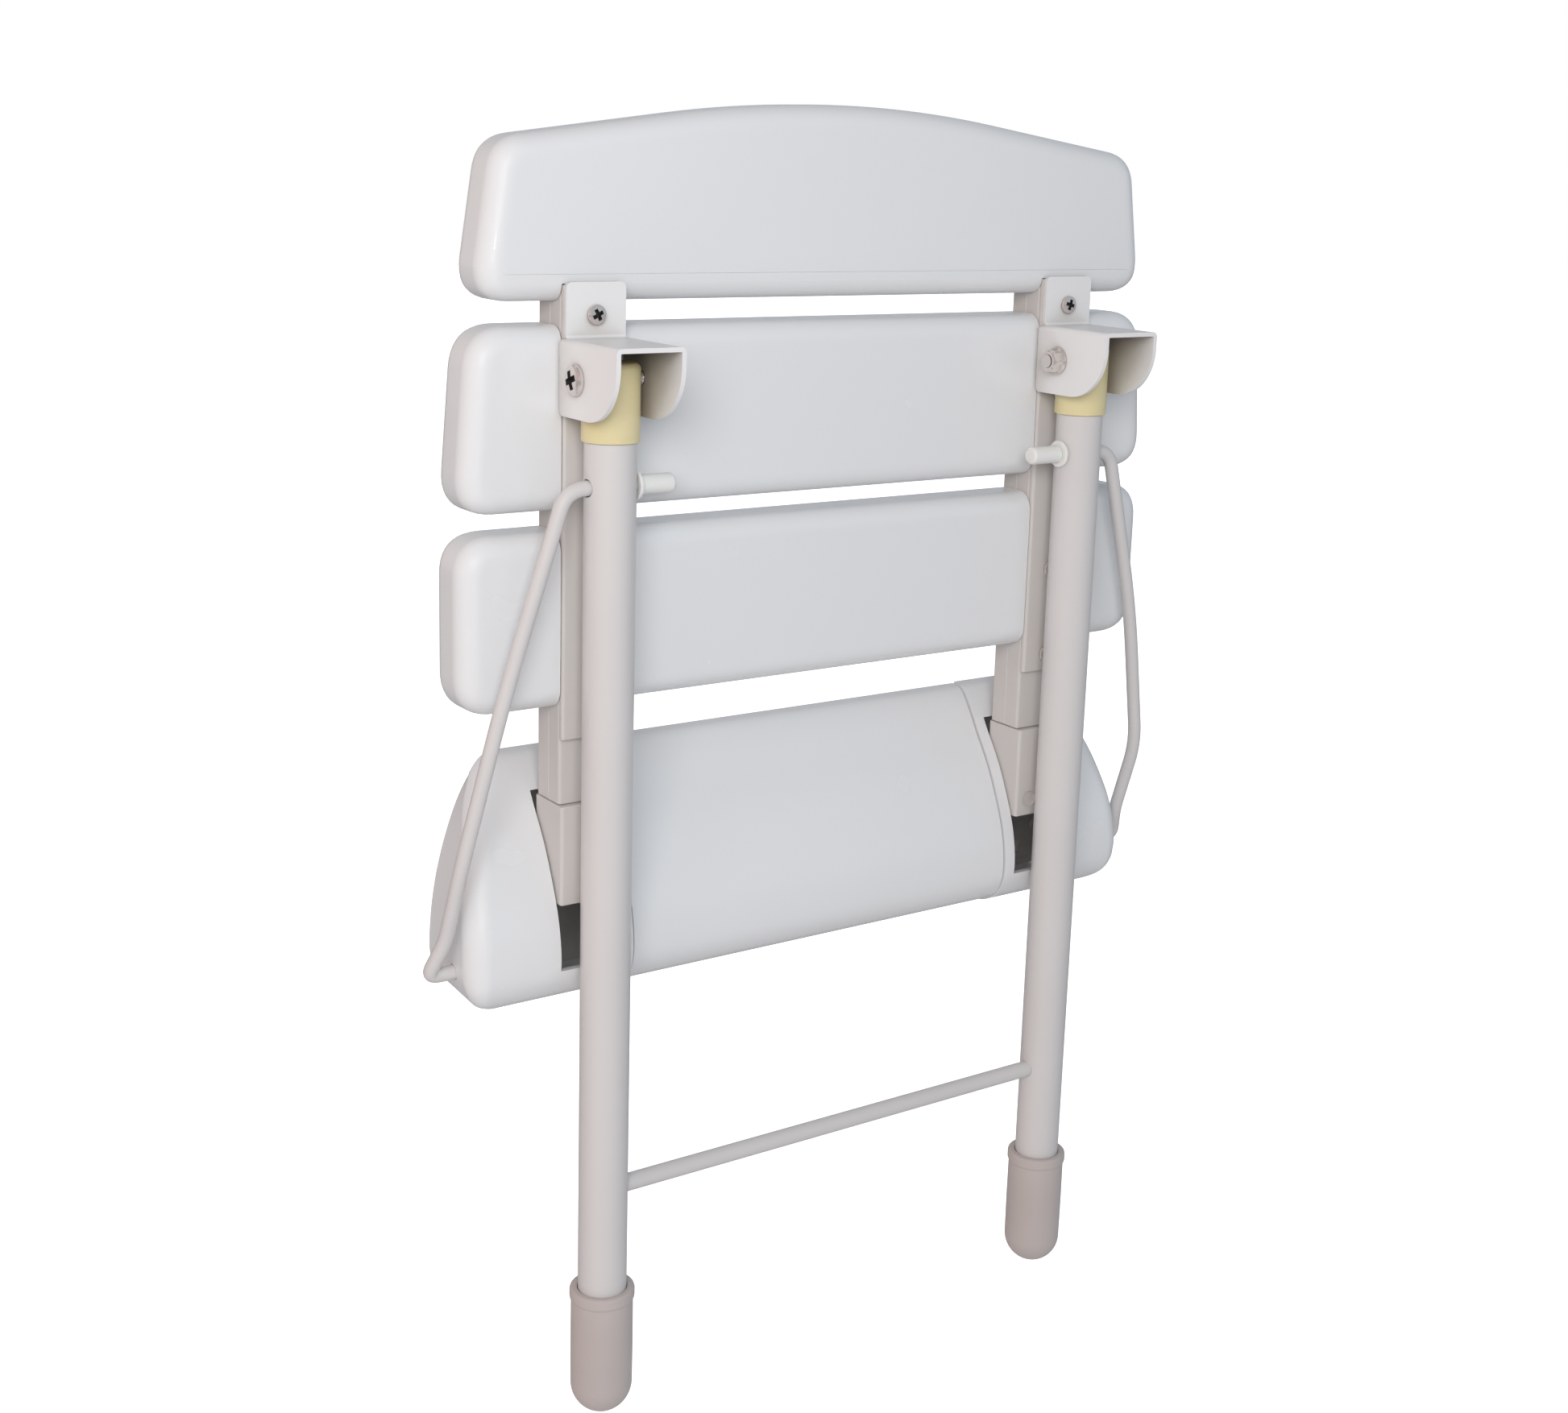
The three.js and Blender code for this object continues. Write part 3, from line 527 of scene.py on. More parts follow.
FINISH = {
    # moulded plastic: almost mirror smooth, faintly wavy, a very fine grain
    "gloss_white": surface(
        "gloss_white", ((0.755, 0.765, 0.775), (0.77, 0.78, 0.79)), (0.25, 0.28), 9,
        ((14, 2, 0.25), (70, 2, 0.01)),
        {"Coat Weight": 0.5, "Coat Roughness": 0.03, "IOR": 1.49}),
    # powder coat: soft gloss with orange peel; painted shade: its tint is kept darker than the tube and
    # bracket copies, for the shade on the recessed arms, rails and knuckles
    "coated_white": surface(
        "coated_white", ((0.58, 0.555, 0.535), (0.62, 0.595, 0.575)), (0.34, 0.46), 14,
        ((260, 2, 0.03), (900, 2, 0.006)),
        {"Coat Weight": 0.15, "Coat Roughness": 0.25}),
    # painted light: the same coat, tinted lighter on the round tubes and wires because they catch more light
    "tube_coat_painted_light": surface(
        "tube_coat_painted_light", ((0.62, 0.60, 0.595), (0.66, 0.64, 0.635)), (0.3, 0.4), 14,
        ((260, 2, 0.02), (900, 2, 0.004)),
        {"Coat Weight": 0.25, "Coat Roughness": 0.15}),
    # painted light: the same coat in a brighter copy for the brackets, with painted shade and bounce, tinted
    # beige, in their inner corners
    "bracket_coat_painted_light_shade": surface(
        "bracket_coat_painted_light_shade", ((0.79, 0.785, 0.785), (0.82, 0.815, 0.815)), (0.34, 0.4), 14,
        ((260, 2, 0.02), (900, 2, 0.004)),
        {"Coat Weight": 0.15, "Coat Roughness": 0.25}, BRACKET_PAINTED_SHADE),
    "cream_plastic": surface(
        "cream_plastic", ((0.70, 0.62, 0.35), (0.76, 0.68, 0.42)), (0.38, 0.5), 60,
        ((90, 3, 0.05), (700, 2, 0.01)),
        {"Subsurface Weight": 0.35, "Subsurface Scale": 0.004, "IOR": 1.5}),
    "grey_rubber": surface(
        "grey_rubber", ((0.46, 0.41, 0.395), (0.53, 0.475, 0.455)), (0.55, 0.72), 30,
        ((120, 3, 0.06), (1300, 3, 0.02)),
        {"Sheen Weight": 0.12, "Sheen Roughness": 0.5}),
    # painted shade: the inside of a screw's cross, a near-black tint standing in for the shadow deep in the
    # bare, oily recess
    "painted_recess_shade": surface(
        "painted_recess_shade", ((0.012, 0.012, 0.012), (0.03, 0.028, 0.026)), (0.5, 0.7), 400,
        ((500, 3, 0.002), (2600, 2, 0.0006))),
    # painted shade: the screw and nut colour darkens near the cross and in other hollows
    "stainless": surface(
        "stainless", ((0.70, 0.65, 0.62), (0.78, 0.73, 0.70)), (0.14, 0.2), 400,
        ((500, 3, 0.002), (2600, 2, 0.0006)),
        {"Metallic": 0.75}, SCREW_PAINTED_SHADE),
    "zinc_steel": surface(
        "zinc_steel", ((0.50, 0.47, 0.46), (0.62, 0.59, 0.58)), (0.45, 0.6), 70,
        ((160, 4, 0.02), (1500, 2, 0.004)),
        {"Metallic": 0.45}),
    "white_nylon": surface(
        "white_nylon", ((0.76, 0.76, 0.74), (0.82, 0.82, 0.80)), (0.4, 0.5), 80,
        ((200, 3, 0.02), (1100, 2, 0.005)),
        {"Subsurface Weight": 0.2, "Subsurface Scale": 0.002}),
}


# ---- slats ----------------------------------------------------------------------
def arch_drop(share):
    """Fall of the arch at a share of the half width: a parabola running out into a straight line."""
    return share ** 2 if share < ARCH_BEND else ARCH_BEND * (2 * share - ARCH_BEND)


def slat_outline(low, high, form):
    """Anticlockwise outline of a slat in (x, z), arched along its top."""
    top = high.z - form["arch"]
    corners = [(-form["low_half"], low.z, SLAT_CORNER), (form["low_half"], low.z, SLAT_CORNER)]
    ease = form["high_corner"]
    corners.append((form["high_half"], top, ease))
    if form["arch"]:
        for i in range(1, ARCH_STEPS):
            share = 1 - 2 * i / ARCH_STEPS
            lift = form["arch"] * (1 - arch_drop(abs(share)) / arch_drop(1))
            if abs(share) * form["high_half"] < form["high_half"] - ease - FLAT_RIM:
                corners.append((form["high_half"] * share, top + lift, 0))
    corners.append((-form["high_half"], top, ease))
    return eased(corners)


def slat_shape(node):
    low, high = in_mm(node)
    outline = slat_outline(low, high, SLATS[node])
    steps = [math.pi / 2 * k / NOSE_STEPS for k in range(NOSE_STEPS + 1)]
    nose = [(SLAT_EDGE * (1 - math.sin(a)), SLAT_EDGE * (1 - math.cos(a))) for a in steps]
    levels = [(SLAT_EDGE + FLAT_RIM, low.y)]
    levels += [(inset, low.y + depth) for inset, depth in nose]
    levels += [(inset, high.y - depth) for inset, depth in reversed(nose)]
    levels += [(SLAT_EDGE + FLAT_RIM, high.y)]
    return loft([[(p.x, y, p.y) for p in inward(outline, inset)] for inset, y in levels])


def make_slat(node):
    made = new_object(f"fine_{node}", slat_shape(node))
    low, high = in_mm(node)
    rail_half = (RAIL_HIGH.x - RAIL_LOW.x) / 2 + GAP
    arm_half = (ARM_HIGH.x - ARM_LOW.x) / 2 + GAP
    below = low.z - BEYOND
    combine(made, both_sides(block(
        ARM_X - rail_half, ARM_X + rail_half, low.y - BEYOND, ARM_LOW.y + GAP,
        below, RAIL_HIGH.z + GAP)))
    combine(made, both_sides(block(
        ARM_X - arm_half, ARM_X + arm_half, ARM_LOW.y - GAP, ARM_HIGH.y + GAP,
        below, ARM_HIGH.z + GAP)))
    stand_for(made, node)


# ---- arms, rails, knuckles --------------------------------------------------------
def arm_outline(inset, corner):
    x0, x1 = ARM_LOW.x + inset, ARM_HIGH.x - inset
    return box_outline(x0, x1, ARM_LOW.y + inset, ARM_HIGH.y - inset, corner)


def scored_arm_outline():
    """The arm's section, with a fine line pressed along both sides."""
    line = ARM_HIGH.y - ARM_LINE["back"]
    half, deep = ARM_LINE["half"], ARM_LINE["deep"]
    x0, x1, y0, y1 = ARM_LOW.x, ARM_HIGH.x, ARM_LOW.y, ARM_HIGH.y
    return eased([
        (x0, y0, ARM_CORNER), (x1, y0, ARM_CORNER),
        (x1, line - half, 0), (x1 - deep, line, 0), (x1, line + half, 0),
        (x1, y1, ARM_CORNER), (x0, y1, ARM_CORNER),
        (x0, line + half, 0), (x0 + deep, line, 0), (x0, line - half, 0),
    ])


def at_height(outline, z):
    return [(p.x, p.y, z) for p in outline]


def make_arm(side, sign):
    section = scored_arm_outline()
    hollow = inward(section, ARM_WALL)
    ends = (ARM_LOW.z, ARM_HIGH.z)
    shape = pipe(
        [at_height(section, z) for z in ends],
        [at_height(hollow, z) for z in ends])
    made = new_object(f"fine_{side}_arm", mirrored(shape, sign))
    stand_for(made, f"{side}_arm")


def make_rail(side, sign):
    x0, x1, y0, y1 = RAIL_LOW.x, RAIL_HIGH.x, RAIL_LOW.y, RAIL_HIGH.y
    section = eased([(x0, y0, RAIL_CORNER), (x1, y0, RAIL_CORNER), (x1, y1, 0), (x0, y1, 0)])
    shape = loft([at_height(section, z) for z in (RAIL_LOW.z, RAIL_HIGH.z)])
    made = new_object(f"fine_{side}_rail", mirrored(shape, sign))
    soften(made, RAIL_EDGE)
    stand_for(made, f"{side}_rail")


def make_knuckle(side, sign):
    low, high = in_mm("right_knuckle")
    shoulder = ARM_LOW.z - GAP
    spigot = ARM_WALL + GAP
    outline = box_outline(low.x, high.x, low.y, high.y, KNUCKLE_CORNER)
    made = new_object(
        f"fine_{side}_knuckle",
        mirrored(loft([at_height(outline, low.z), at_height(outline, shoulder)]), sign))
    soften(made, KNUCKLE_EDGE, segments=3)
    inner = arm_outline(spigot, KNUCKLE_CORNER)
    combine(made, mirrored(
        loft([at_height(inner, shoulder - SPIGOT_ROOT), at_height(inner, high.z)]), sign), "UNION")
    reach = CHANNEL["reach"]
    combine(made, mirrored(block(
        ARM_X - CHANNEL["half"], ARM_X + CHANNEL["half"], ARM_PIVOT_Y - reach, high.y + BEYOND,
        low.z - BEYOND, ARM_PIVOT_Z + reach), sign))
    bore = rod_x(AXLE_BORE, low.x - PAST, high.x + PAST, ARM_PIVOT_Y, ARM_PIVOT_Z)
    combine(made, mirrored(bore, sign))
    pit = turned(
        [(DIMPLE["radius"], low.y - PAST), (DIMPLE["radius"], low.y + DIMPLE["deep"])],
        (ARM_X + DIMPLE["shift"], 0, DIMPLE["z"]), "Y", FINE_ROUND)
    combine(made, mirrored(pit, sign))
    stand_for(made, f"{side}_knuckle")


# ---- brackets -------------------------------------------------------------------
def cheek_bottom(y, low, high):
    """Height of a cheek's lower edge at depth y: a round nose in front, a small heel behind."""
    nose, heel = y - low.y, high.y - y
    if nose < CHEEK_NOSE:
        return low.z + CHEEK_NOSE - math.sqrt(max(CHEEK_NOSE ** 2 - (CHEEK_NOSE - nose) ** 2, 0))
    if heel < CHEEK_HEEL:
        return low.z + CHEEK_HEEL - math.sqrt(max(CHEEK_HEEL ** 2 - (CHEEK_HEEL - heel) ** 2, 0))
    return low.z


def bracket_stations(low, high):
    """Depths at which the sheet is sampled, closest where its lower edge turns most."""
    nose_turns = [math.pi / 2 * k / CHEEK_STEPS for k in range(CHEEK_STEPS)]
    heel_turns = [math.pi / 2 * k / HEEL_STEPS for k in range(HEEL_STEPS + 1)]
    nose = [low.y + CHEEK_NOSE * (1 - math.cos(a)) for a in nose_turns]
    heel = [high.y - CHEEK_HEEL * (1 - math.sin(a)) for a in heel_turns]
    return nose + [low.y + CHEEK_NOSE] + heel


def bracket_row(y, low, high, plate_top):
    """The outer face of the folded sheet at one depth: up a cheek, over the top, down the other."""
    half = (high.x - low.x) / 2
    bottom = cheek_bottom(y, low, high)
    straight = plate_top - SHEET_BEND
    side = [(half, bottom + (straight - bottom) * k / CHEEK_ROWS) for k in range(CHEEK_ROWS)]
    for k in range(BEND_STEPS + 1):
        angle = math.pi / 2 * k / BEND_STEPS
        side.append((
            half - SHEET_BEND + SHEET_BEND * math.cos(angle),
            straight + SHEET_BEND * math.sin(angle)))
    other = [(-x, z) for x, z in reversed(side)]
    return [(ARM_X + x, y, z) for x, z in side + other]


def tab_shape(high, plate_top):
    """Tab in (y, z), bent up from the plate with a small inner radius, pushed along x."""
    back, front = high.y, high.y - SHEET
    bend = TAB["bend"]
    profile = [(back, plate_top - TAB["root"]), (back, high.z), (front, high.z)]
    for k in range(TAB_BEND_STEPS + 1):
        angle = math.pi / 2 * k / TAB_BEND_STEPS
        profile.append((
            front - bend + bend * math.cos(angle),
            plate_top + bend - bend * math.sin(angle)))
    profile.append((front - bend, plate_top - TAB["root"]))
    ends = (ARM_X - TAB["half"], ARM_X + TAB["half"])
    return loft([[(x, y, z) for y, z in profile] for x in ends])


def round_tab_corners(made, high):
    """Rounds the two upper corners of the tab: the edges across its thickness, at its top."""
    work = bmesh.new()
    work.from_mesh(made.data)
    top = [
        e for e in work.edges
        if all(abs(v.co.z - high.z * MM) < SAME_PLACE for v in e.verts)
        and abs(e.verts[0].co.x - e.verts[1].co.x) < SAME_PLACE
    ]
    bmesh.ops.bevel(
        work, geom=top, offset=TAB["corner"] * MM, segments=TAB_CORNER_STEPS, profile=0.5,
        affect="EDGES", clamp_overlap=True)
    work.to_mesh(made.data)
    work.free()


def make_bracket(side, sign):
    low, high = in_mm("right_bracket")
    plate_top = PLUG_HIGH.z + PLATE_ABOVE_PLUG
    rows = [bracket_row(y, low, high, plate_top) for y in bracket_stations(low, high)]
    made = new_object(f"fine_{side}_bracket", mirrored(grid(rows), sign))
    solid = made.modifiers.new("sheet", "SOLIDIFY")
    solid.thickness = SHEET * MM
    solid.offset = -1 if facing_out(made, sign) else 1
    solid.use_even_offset = True
    freeze(made)
    clean(made.data)
    tab = new_object("tab", mirrored(tab_shape(high, plate_top), sign))
    round_tab_corners(tab, high)
    merge(made, tab)
    bore = rod_x(BOLT_BORE, low.x - PAST, high.x + PAST, LEG_Y, PIVOT_Z)
    soften(made, SHEET_EDGE, segments=3, degrees=60)
    combine(made, mirrored(bore, sign))
    stand_for(made, f"{side}_bracket", "bracket_coat_painted_light_shade")


def facing_out(made, sign):
    """True if the open sheet's faces look away from its middle."""
    outer = max(made.data.polygons, key=lambda face: sign * face.center.x)
    return outer.normal.x * sign > 0


# ---- legs -----------------------------------------------------------------------
def ring(radius, x, y, z):
    turns = [2 * math.pi * i / ROUND for i in range(ROUND)]
    return [(x + radius * math.cos(a), y + radius * math.sin(a), z) for a in turns]


def make_leg(side, sign):
    ends = (LEG_LOW.z, LEG_HIGH.z)
    shape = pipe(
        [ring(LEG_RADIUS, ARM_X, LEG_Y, z) for z in ends],
        [ring(LEG_RADIUS - LEG_WALL, ARM_X, LEG_Y, z) for z in ends])
    made = new_object(f"fine_{side}_leg", mirrored(shape, sign))
    across = LEG_RADIUS + PAST
    pin = rod_x(LINK_RADIUS + LINK_HOLE_ROOM, ARM_X - across, ARM_X + across, LEG_Y, LINK_Z)
    combine(made, mirrored(pin, sign))
    rod_low, rod_high = in_mm("cross_rod")
    rod_radius = (rod_high.z - rod_low.z) / 2 + FIT
    hole = rod_x(rod_radius, ARM_X - across, ARM_X, LEG_Y, (rod_low.z + rod_high.z) / 2)
    combine(made, mirrored(hole, sign))
    stand_for(made, f"{side}_leg", "tube_coat_painted_light")


def make_plug(side, sign):
    radius = (PLUG_HIGH.x - PLUG_LOW.x) / 2
    spigot = LEG_RADIUS - LEG_WALL - PLUG_FIT
    bottom, top = PLUG_LOW.z, PLUG_HIGH.z
    step = bottom + PLUG_SPIGOT
    profile = [(0, bottom), (spigot - PLUG_CHAMFER, bottom), (spigot, bottom + PLUG_CHAMFER), (spigot, step)]
    profile += [(radius - inside, step + up) for inside, up in PLUG_SHOULDER]
    profile += [(radius - inside, top - down) for inside, down in PLUG_CROWN]
    profile.append((0, top))
    made = new_object(f"fine_{side}_leg_plug", mirrored(turned(profile, (ARM_X, LEG_Y, 0)), sign))
    bore = rod_x(BOLT_BORE, PLUG_LOW.x - PAST, PLUG_HIGH.x + PAST, LEG_Y, PIVOT_Z)
    combine(made, mirrored(bore, sign))
    stand_for(made, f"{side}_leg_plug")


def make_foot(side, sign):
    low, high = in_mm("right_foot")
    bead = (high.x - low.x) / 2
    radius = bead - FOOT_BEAD
    bore = LEG_RADIUS + FOOT_FIT
    floor = LEG_LOW.z - FOOT_FIT
    top = high.z
    lip = top - FOOT_LIP
    turns = [math.pi / 2 * k / DOME_STEPS for k in range(DOME_STEPS + 1)]
    profile = [(radius * math.sin(a), low.z + radius - radius * math.cos(a)) for a in turns]
    profile.append((radius + FOOT_SWELL, (profile[-1][1] + lip) / 2))
    profile += [(radius + out, lip - down) for out, down in FOOT_NECK]
    profile += [(bead - inside, lip + up) for inside, up in FOOT_LIP_EDGE]
    profile += [(bead - inside, top - down) for inside, down in FOOT_RIM_OUTSIDE]
    profile += [(bore + out, top - down) for out, down in FOOT_RIM_INSIDE]
    profile += [(bore, floor), (0, floor)]
    made = new_object(f"fine_{side}_foot", mirrored(turned(profile, (ARM_X, LEG_Y, 0)), sign))
    stand_for(made, f"{side}_foot")


def make_cross_rod():
    low, high = in_mm("cross_rod")
    radius = (high.z - low.z) / 2
    profile = [
        (0, low.x), (radius - ROD_CHAMFER, low.x), (radius, low.x + ROD_CHAMFER),
        (radius, high.x - ROD_CHAMFER), (radius - ROD_CHAMFER, high.x), (0, high.x),
    ]
    middle = (0, (low.y + high.y) / 2, (low.z + high.z) / 2)
    made = new_object("fine_cross_rod", turned(profile, middle, "X", ROD_ROUND))
    stand_for(made, "cross_rod", "tube_coat_painted_light")


# ---- links ----------------------------------------------------------------------
def link_line():
    """Centre line of the right link: straight runs joined by eased bends."""
    low, high = in_mm("right_link")
    foot_y = ARM_PIVOT_Y
    corners = [Vector(p) for p in (
        (low.x, LEG_Y, LINK_Z), (LINK_BEND_X, LEG_Y, LINK_Z), LINK_WAIST, LINK_ELBOW, LINK_HEEL,
        (LINK_OUTER_X, foot_y, LINK_FOOT_Z), (EAR_END_X, foot_y, LINK_FOOT_Z))]
    line = [corners[0]]
    for i, fillet in enumerate(LINK_FILLETS, start=1):
        corner = corners[i]
        before, after = [
            corner + (other - corner).normalized() * fillet
            for other in (corners[i - 1], corners[i + 1])]
        for k in range(FILLET_STEPS + 1):
            t = k / FILLET_STEPS
            line.append(before * (1 - t) ** 2 + corner * 2 * t * (1 - t) + after * t * t)
    line.append(corners[-1])
    return line


def swept(line, radius):
    """Round wire along a line, its ends slightly chamfered."""
    rings = []
    normal = Vector((0, 0, 1))
    for i, point in enumerate(line):
        ahead = line[min(i + 1, len(line) - 1)] - line[max(i - 1, 0)]
        ahead.normalize()
        normal = (normal - ahead * normal.dot(ahead)).normalized()
        across = ahead.cross(normal)
        turns = [2 * math.pi * k / FINE_ROUND for k in range(FINE_ROUND)]
        rings.append([point + (normal * math.cos(a) + across * math.sin(a)) * radius for a in turns])
    for end, inner in ((0, 1), (-1, -2)):
        outward = (line[end] - line[inner]).normalized()
        middle = line[end]
        small = [middle + (p - middle) * WIRE_END["small"] for p in rings[end]]
        rings[end] = [p - outward * radius * WIRE_END["back"] for p in rings[end]]
        rings.insert(0 if end == 0 else len(rings), small)
    return loft([[tuple(p) for p in wire] for wire in rings])


def make_link(side, sign):
    made = new_object(f"fine_{side}_link", mirrored(swept(link_line(), LINK_RADIUS), sign))
    stand_for(made, f"{side}_link", "tube_coat_painted_light")


def ring_profile(inner, outer, x0, x1, edge):
    """Section of a flat ring, with its outer edges chamfered."""
    return [
        (inner, x0), (outer - edge, x0), (outer, x0 + edge),
        (outer, x1 - edge), (outer - edge, x1), (inner, x1),
    ]


def hoop(profile, y, z):
    """Turned ring about X: the profile is a closed loop that stays off the axis."""
    count = FINE_ROUND
    points, faces = [], []
    for radius, x in profile:
        for i in range(count):
            angle = 2 * math.pi * i / count
            points.append((x, y + radius * math.cos(angle), z + radius * math.sin(angle)))
    rows = len(profile)
    for level in range(rows):
        here, above = level * count, ((level + 1) % rows) * count
        for i in range(count):
            j = (i + 1) % count
            faces.append((here + i, here + j, above + j, above + i))
    return points, faces


def make_washer(side, sign):
    low, high = in_mm("right_link_washer")
    outer = (high.z - low.z) / 2
    profile = ring_profile(LINK_RADIUS + FIT, outer, low.x, high.x, WASHER_EDGE)
    made = new_object(f"fine_{side}_link_washer", mirrored(hoop(profile, LEG_Y, LINK_Z), sign))
    stand_for(made, f"{side}_link_washer")


def make_sleeve(side, sign):
    low, high = in_mm("right_link_sleeve")
    radius = (high.z - low.z) / 2
    bore = LINK_RADIUS + FIT
    wire_end = in_mm("right_link")[0].x - SLEEVE["gap"]
    bend, chamfer = SLEEVE["round"], SLEEVE["chamfer"]
    profile = [(0, low.x)]
    for k in range(1, SLEEVE_STEPS + 1):
        angle = math.pi / 2 * k / SLEEVE_STEPS
        profile.append((radius - bend + bend * math.sin(angle), low.x + bend - bend * math.cos(angle)))
    profile += [
        (radius, high.x - chamfer), (radius - chamfer, high.x), (bore, high.x),
        (bore, wire_end), (0, wire_end),
    ]
    shape = turned(profile, (0, LEG_Y, LINK_Z), "X", FINE_ROUND)
    made = new_object(f"fine_{side}_link_sleeve", mirrored(shape, sign))
    stand_for(made, f"{side}_link_sleeve")


# ---- housing --------------------------------------------------------------------
def spline(rows, count):
    """Points evenly spaced along a smooth curve through the rows."""
    knots = [Vector(r) for r in rows]
    knots = [2 * knots[0] - knots[1], *knots, 2 * knots[-1] - knots[-2]]
    dense = []
    for i in range(1, len(knots) - 2):
        a, b, c, d = knots[i - 1:i + 3]
        for k in range(SPLINE_STEPS):
            t = k / SPLINE_STEPS
            dense.append(0.5 * (
                2 * b + (c - a) * t + (2 * a - 5 * b + 4 * c - d) * t ** 2
                + (3 * b - a - 3 * c + d) * t ** 3))
    dense.append(knots[-2])
    run = [0.0]
    for a, b in zip(dense, dense[1:]):
        run.append(run[-1] + (b - a).length)
    spaced, k = [], 0
    for i in range(count + 1):
        goal = run[-1] * i / count
        while k < len(run) - 2 and run[k + 1] < goal:
            k += 1
        spaced.append(dense[k].lerp(dense[k + 1], (goal - run[k]) / (run[k + 1] - run[k])))
    return spaced


def cap_ring(level, inset, seam, back):
    """Plan outline of an end cap at one level, from the seam round the corner to the wall."""
    z, front, half = level
    front += inset
    half -= inset
    tight = HOUSING_LOW_CORNER + (z - HOUSING_ROWS[-1][0]) * CORNER_GROWTH
    radius = min(HOUSING_CORNER, (HOUSING_BACK - front) * CORNER_DEPTH, tight)
    ring = [(seam, back, z)]
    for k in range(FRONT_STEPS):
        ring.append((seam + (half - radius - seam) * k / FRONT_STEPS, front, z))
    for k in range(CORNER_STEPS + 1):
        angle = math.pi / 2 * k / CORNER_STEPS
        x = half - radius + radius * math.sin(angle)
        ring.append((x, front + radius - radius * math.cos(angle), z))
    return ring + [(half - HOUSING_DRAFT, back, z)]


def levels_between(lowest, highest):
    """Levels of the housing between two heights, with one put in at each height."""
    levels = spline(HOUSING_ROWS, HOUSING_LEVELS)
    ends = []
    for height in (highest, lowest):
        for above, below in zip(levels, levels[1:]):
            if below.x <= height <= above.x:
                ends.append(above.lerp(below, (above.x - height) / (above.x - below.x)))
                break
    inside = [level for level in levels if ends[1].x + GAP < level.x < ends[0].x - GAP]
    return [ends[0], *inside, ends[1]]


def make_cap(side, sign):
    highest, lowest = HOUSING_ROWS[0][0], HOUSING_ROWS[-1][0]
    outer = [
        cap_ring(level, 0, SEAM_X + SEAM_GAP, HOUSING_BACK)
        for level in spline(HOUSING_ROWS, HOUSING_LEVELS)]
    made = new_object(f"fine_{side}_end_cap", mirrored(loft(outer), sign))
    inner = [
        cap_ring(level, HOUSING_WALL, SEAM_X - BEYOND, BEYOND)
        for level in levels_between(lowest + HOUSING_WALL, highest - HOUSING_WALL)]
    combine(made, mirrored(loft(inner), sign))
    slot = block(
        ARM_X - SLOT["half"], ARM_X + SLOT["half"], LEG_Y, BEYOND, SLOT["bottom"], SLOT["top"])
    combine(made, mirrored(slot, sign))
    ear_end = in_mm("right_link_ear")[1].x
    pin = rod_x(LINK_RADIUS + PIN_ROOM, ear_end, LINK_OUTER_X, ARM_PIVOT_Y, LINK_FOOT_Z)
    combine(made, mirrored(pin, sign))
    soften(made, SEAM_EDGE, degrees=60)
    stand_for(made, f"{side}_end_cap")


def cover_line(inset):
    """Section of the middle cover in (y, z), moved in from the housing's own section."""
    line = []
    for z, front, _ in spline(HOUSING_ROWS, HOUSING_LEVELS):
        squeeze = 1 - inset / HOUSING_ROWS[0][0]
        line.append((min(front + inset, HOUSING_BACK - COVER_LIP), z * squeeze))
    return [(HOUSING_BACK, line[0][1]), *line, (HOUSING_BACK, line[-1][1])]


def make_cover():
    outer = cover_line(COVER_INSET)
    inner = cover_line(COVER_INSET + COVER_WALL)
    half = SEAM_X - SEAM_GAP
    loop = outer + list(reversed(inner))
    count = len(loop)
    points = [(x, y, z) for x in (-half, half) for y, z in loop]
    faces = [(i, (i + 1) % count, count + (i + 1) % count, count + i) for i in range(count)]
    wall = len(outer)
    for end in (0, count):
        for i in range(wall - 1):
            faces.append((end + i, end + i + 1, end + count - 2 - i, end + count - 1 - i))
    made = new_object("fine_middle_cover", (points, faces))
    soften(made, SEAM_EDGE, degrees=60)
    stand_for(made, "middle_cover")


# ---- fasteners ------------------------------------------------------------------
def cross_recess(head, deep, at_head):
    """Tapered cross, 12 corners a level, sunk into the top of a head that points along -Y."""
    def level(scale, y):
        long, wide = head * CROSS["long"] * scale, head * CROSS["wide"] * scale
        corners = [
            (wide, wide), (wide, long), (-wide, long), (-wide, wide), (-long, wide),
            (-long, -wide), (-wide, -wide), (-wide, -long), (wide, -long), (wide, -wide),
            (long, -wide), (long, wide),
        ]
        return [(x, y, z) for x, z in corners]
    above, bottom = CROSS_TAPER
    return loft([level(above, at_head - PAST), level(bottom, at_head + deep)])


def pan_screw(head, height, shank, length):
    """Pan head along -Y with its seat at y = 0, recess cut, shank with thread along +Y."""
    profile = [(0, -height)]
    for k in range(1, HEAD_STEPS + 1):
        angle = math.pi / 2 * k / HEAD_STEPS
        rise = HEAD_RIM + (1 - HEAD_RIM) * math.cos(angle) ** HEAD_BULGE
        profile.append((head * math.sin(angle), -height * rise))
    profile += [(head, -HEAD_EDGE), (head - HEAD_EDGE, 0), (shank, 0)]
    y = THREAD["start"]
    while y < length - THREAD["tip"]:
        profile += [(shank, y), (shank - THREAD["deep"], y + THREAD["pitch"] / 2)]
        y += THREAD["pitch"]
    profile += [(shank, y), (0, length)]
    recess = cross_recess(head, height * CROSS["deep"], -height)
    return turned(profile, (0, 0, 0), "Y", FINE_ROUND), recess


def placed(shape, turn, to):
    """A shape turned about the origin, then moved."""
    points, faces = shape
    return [tuple(turn @ Vector(p) + Vector(to)) for p in points], faces


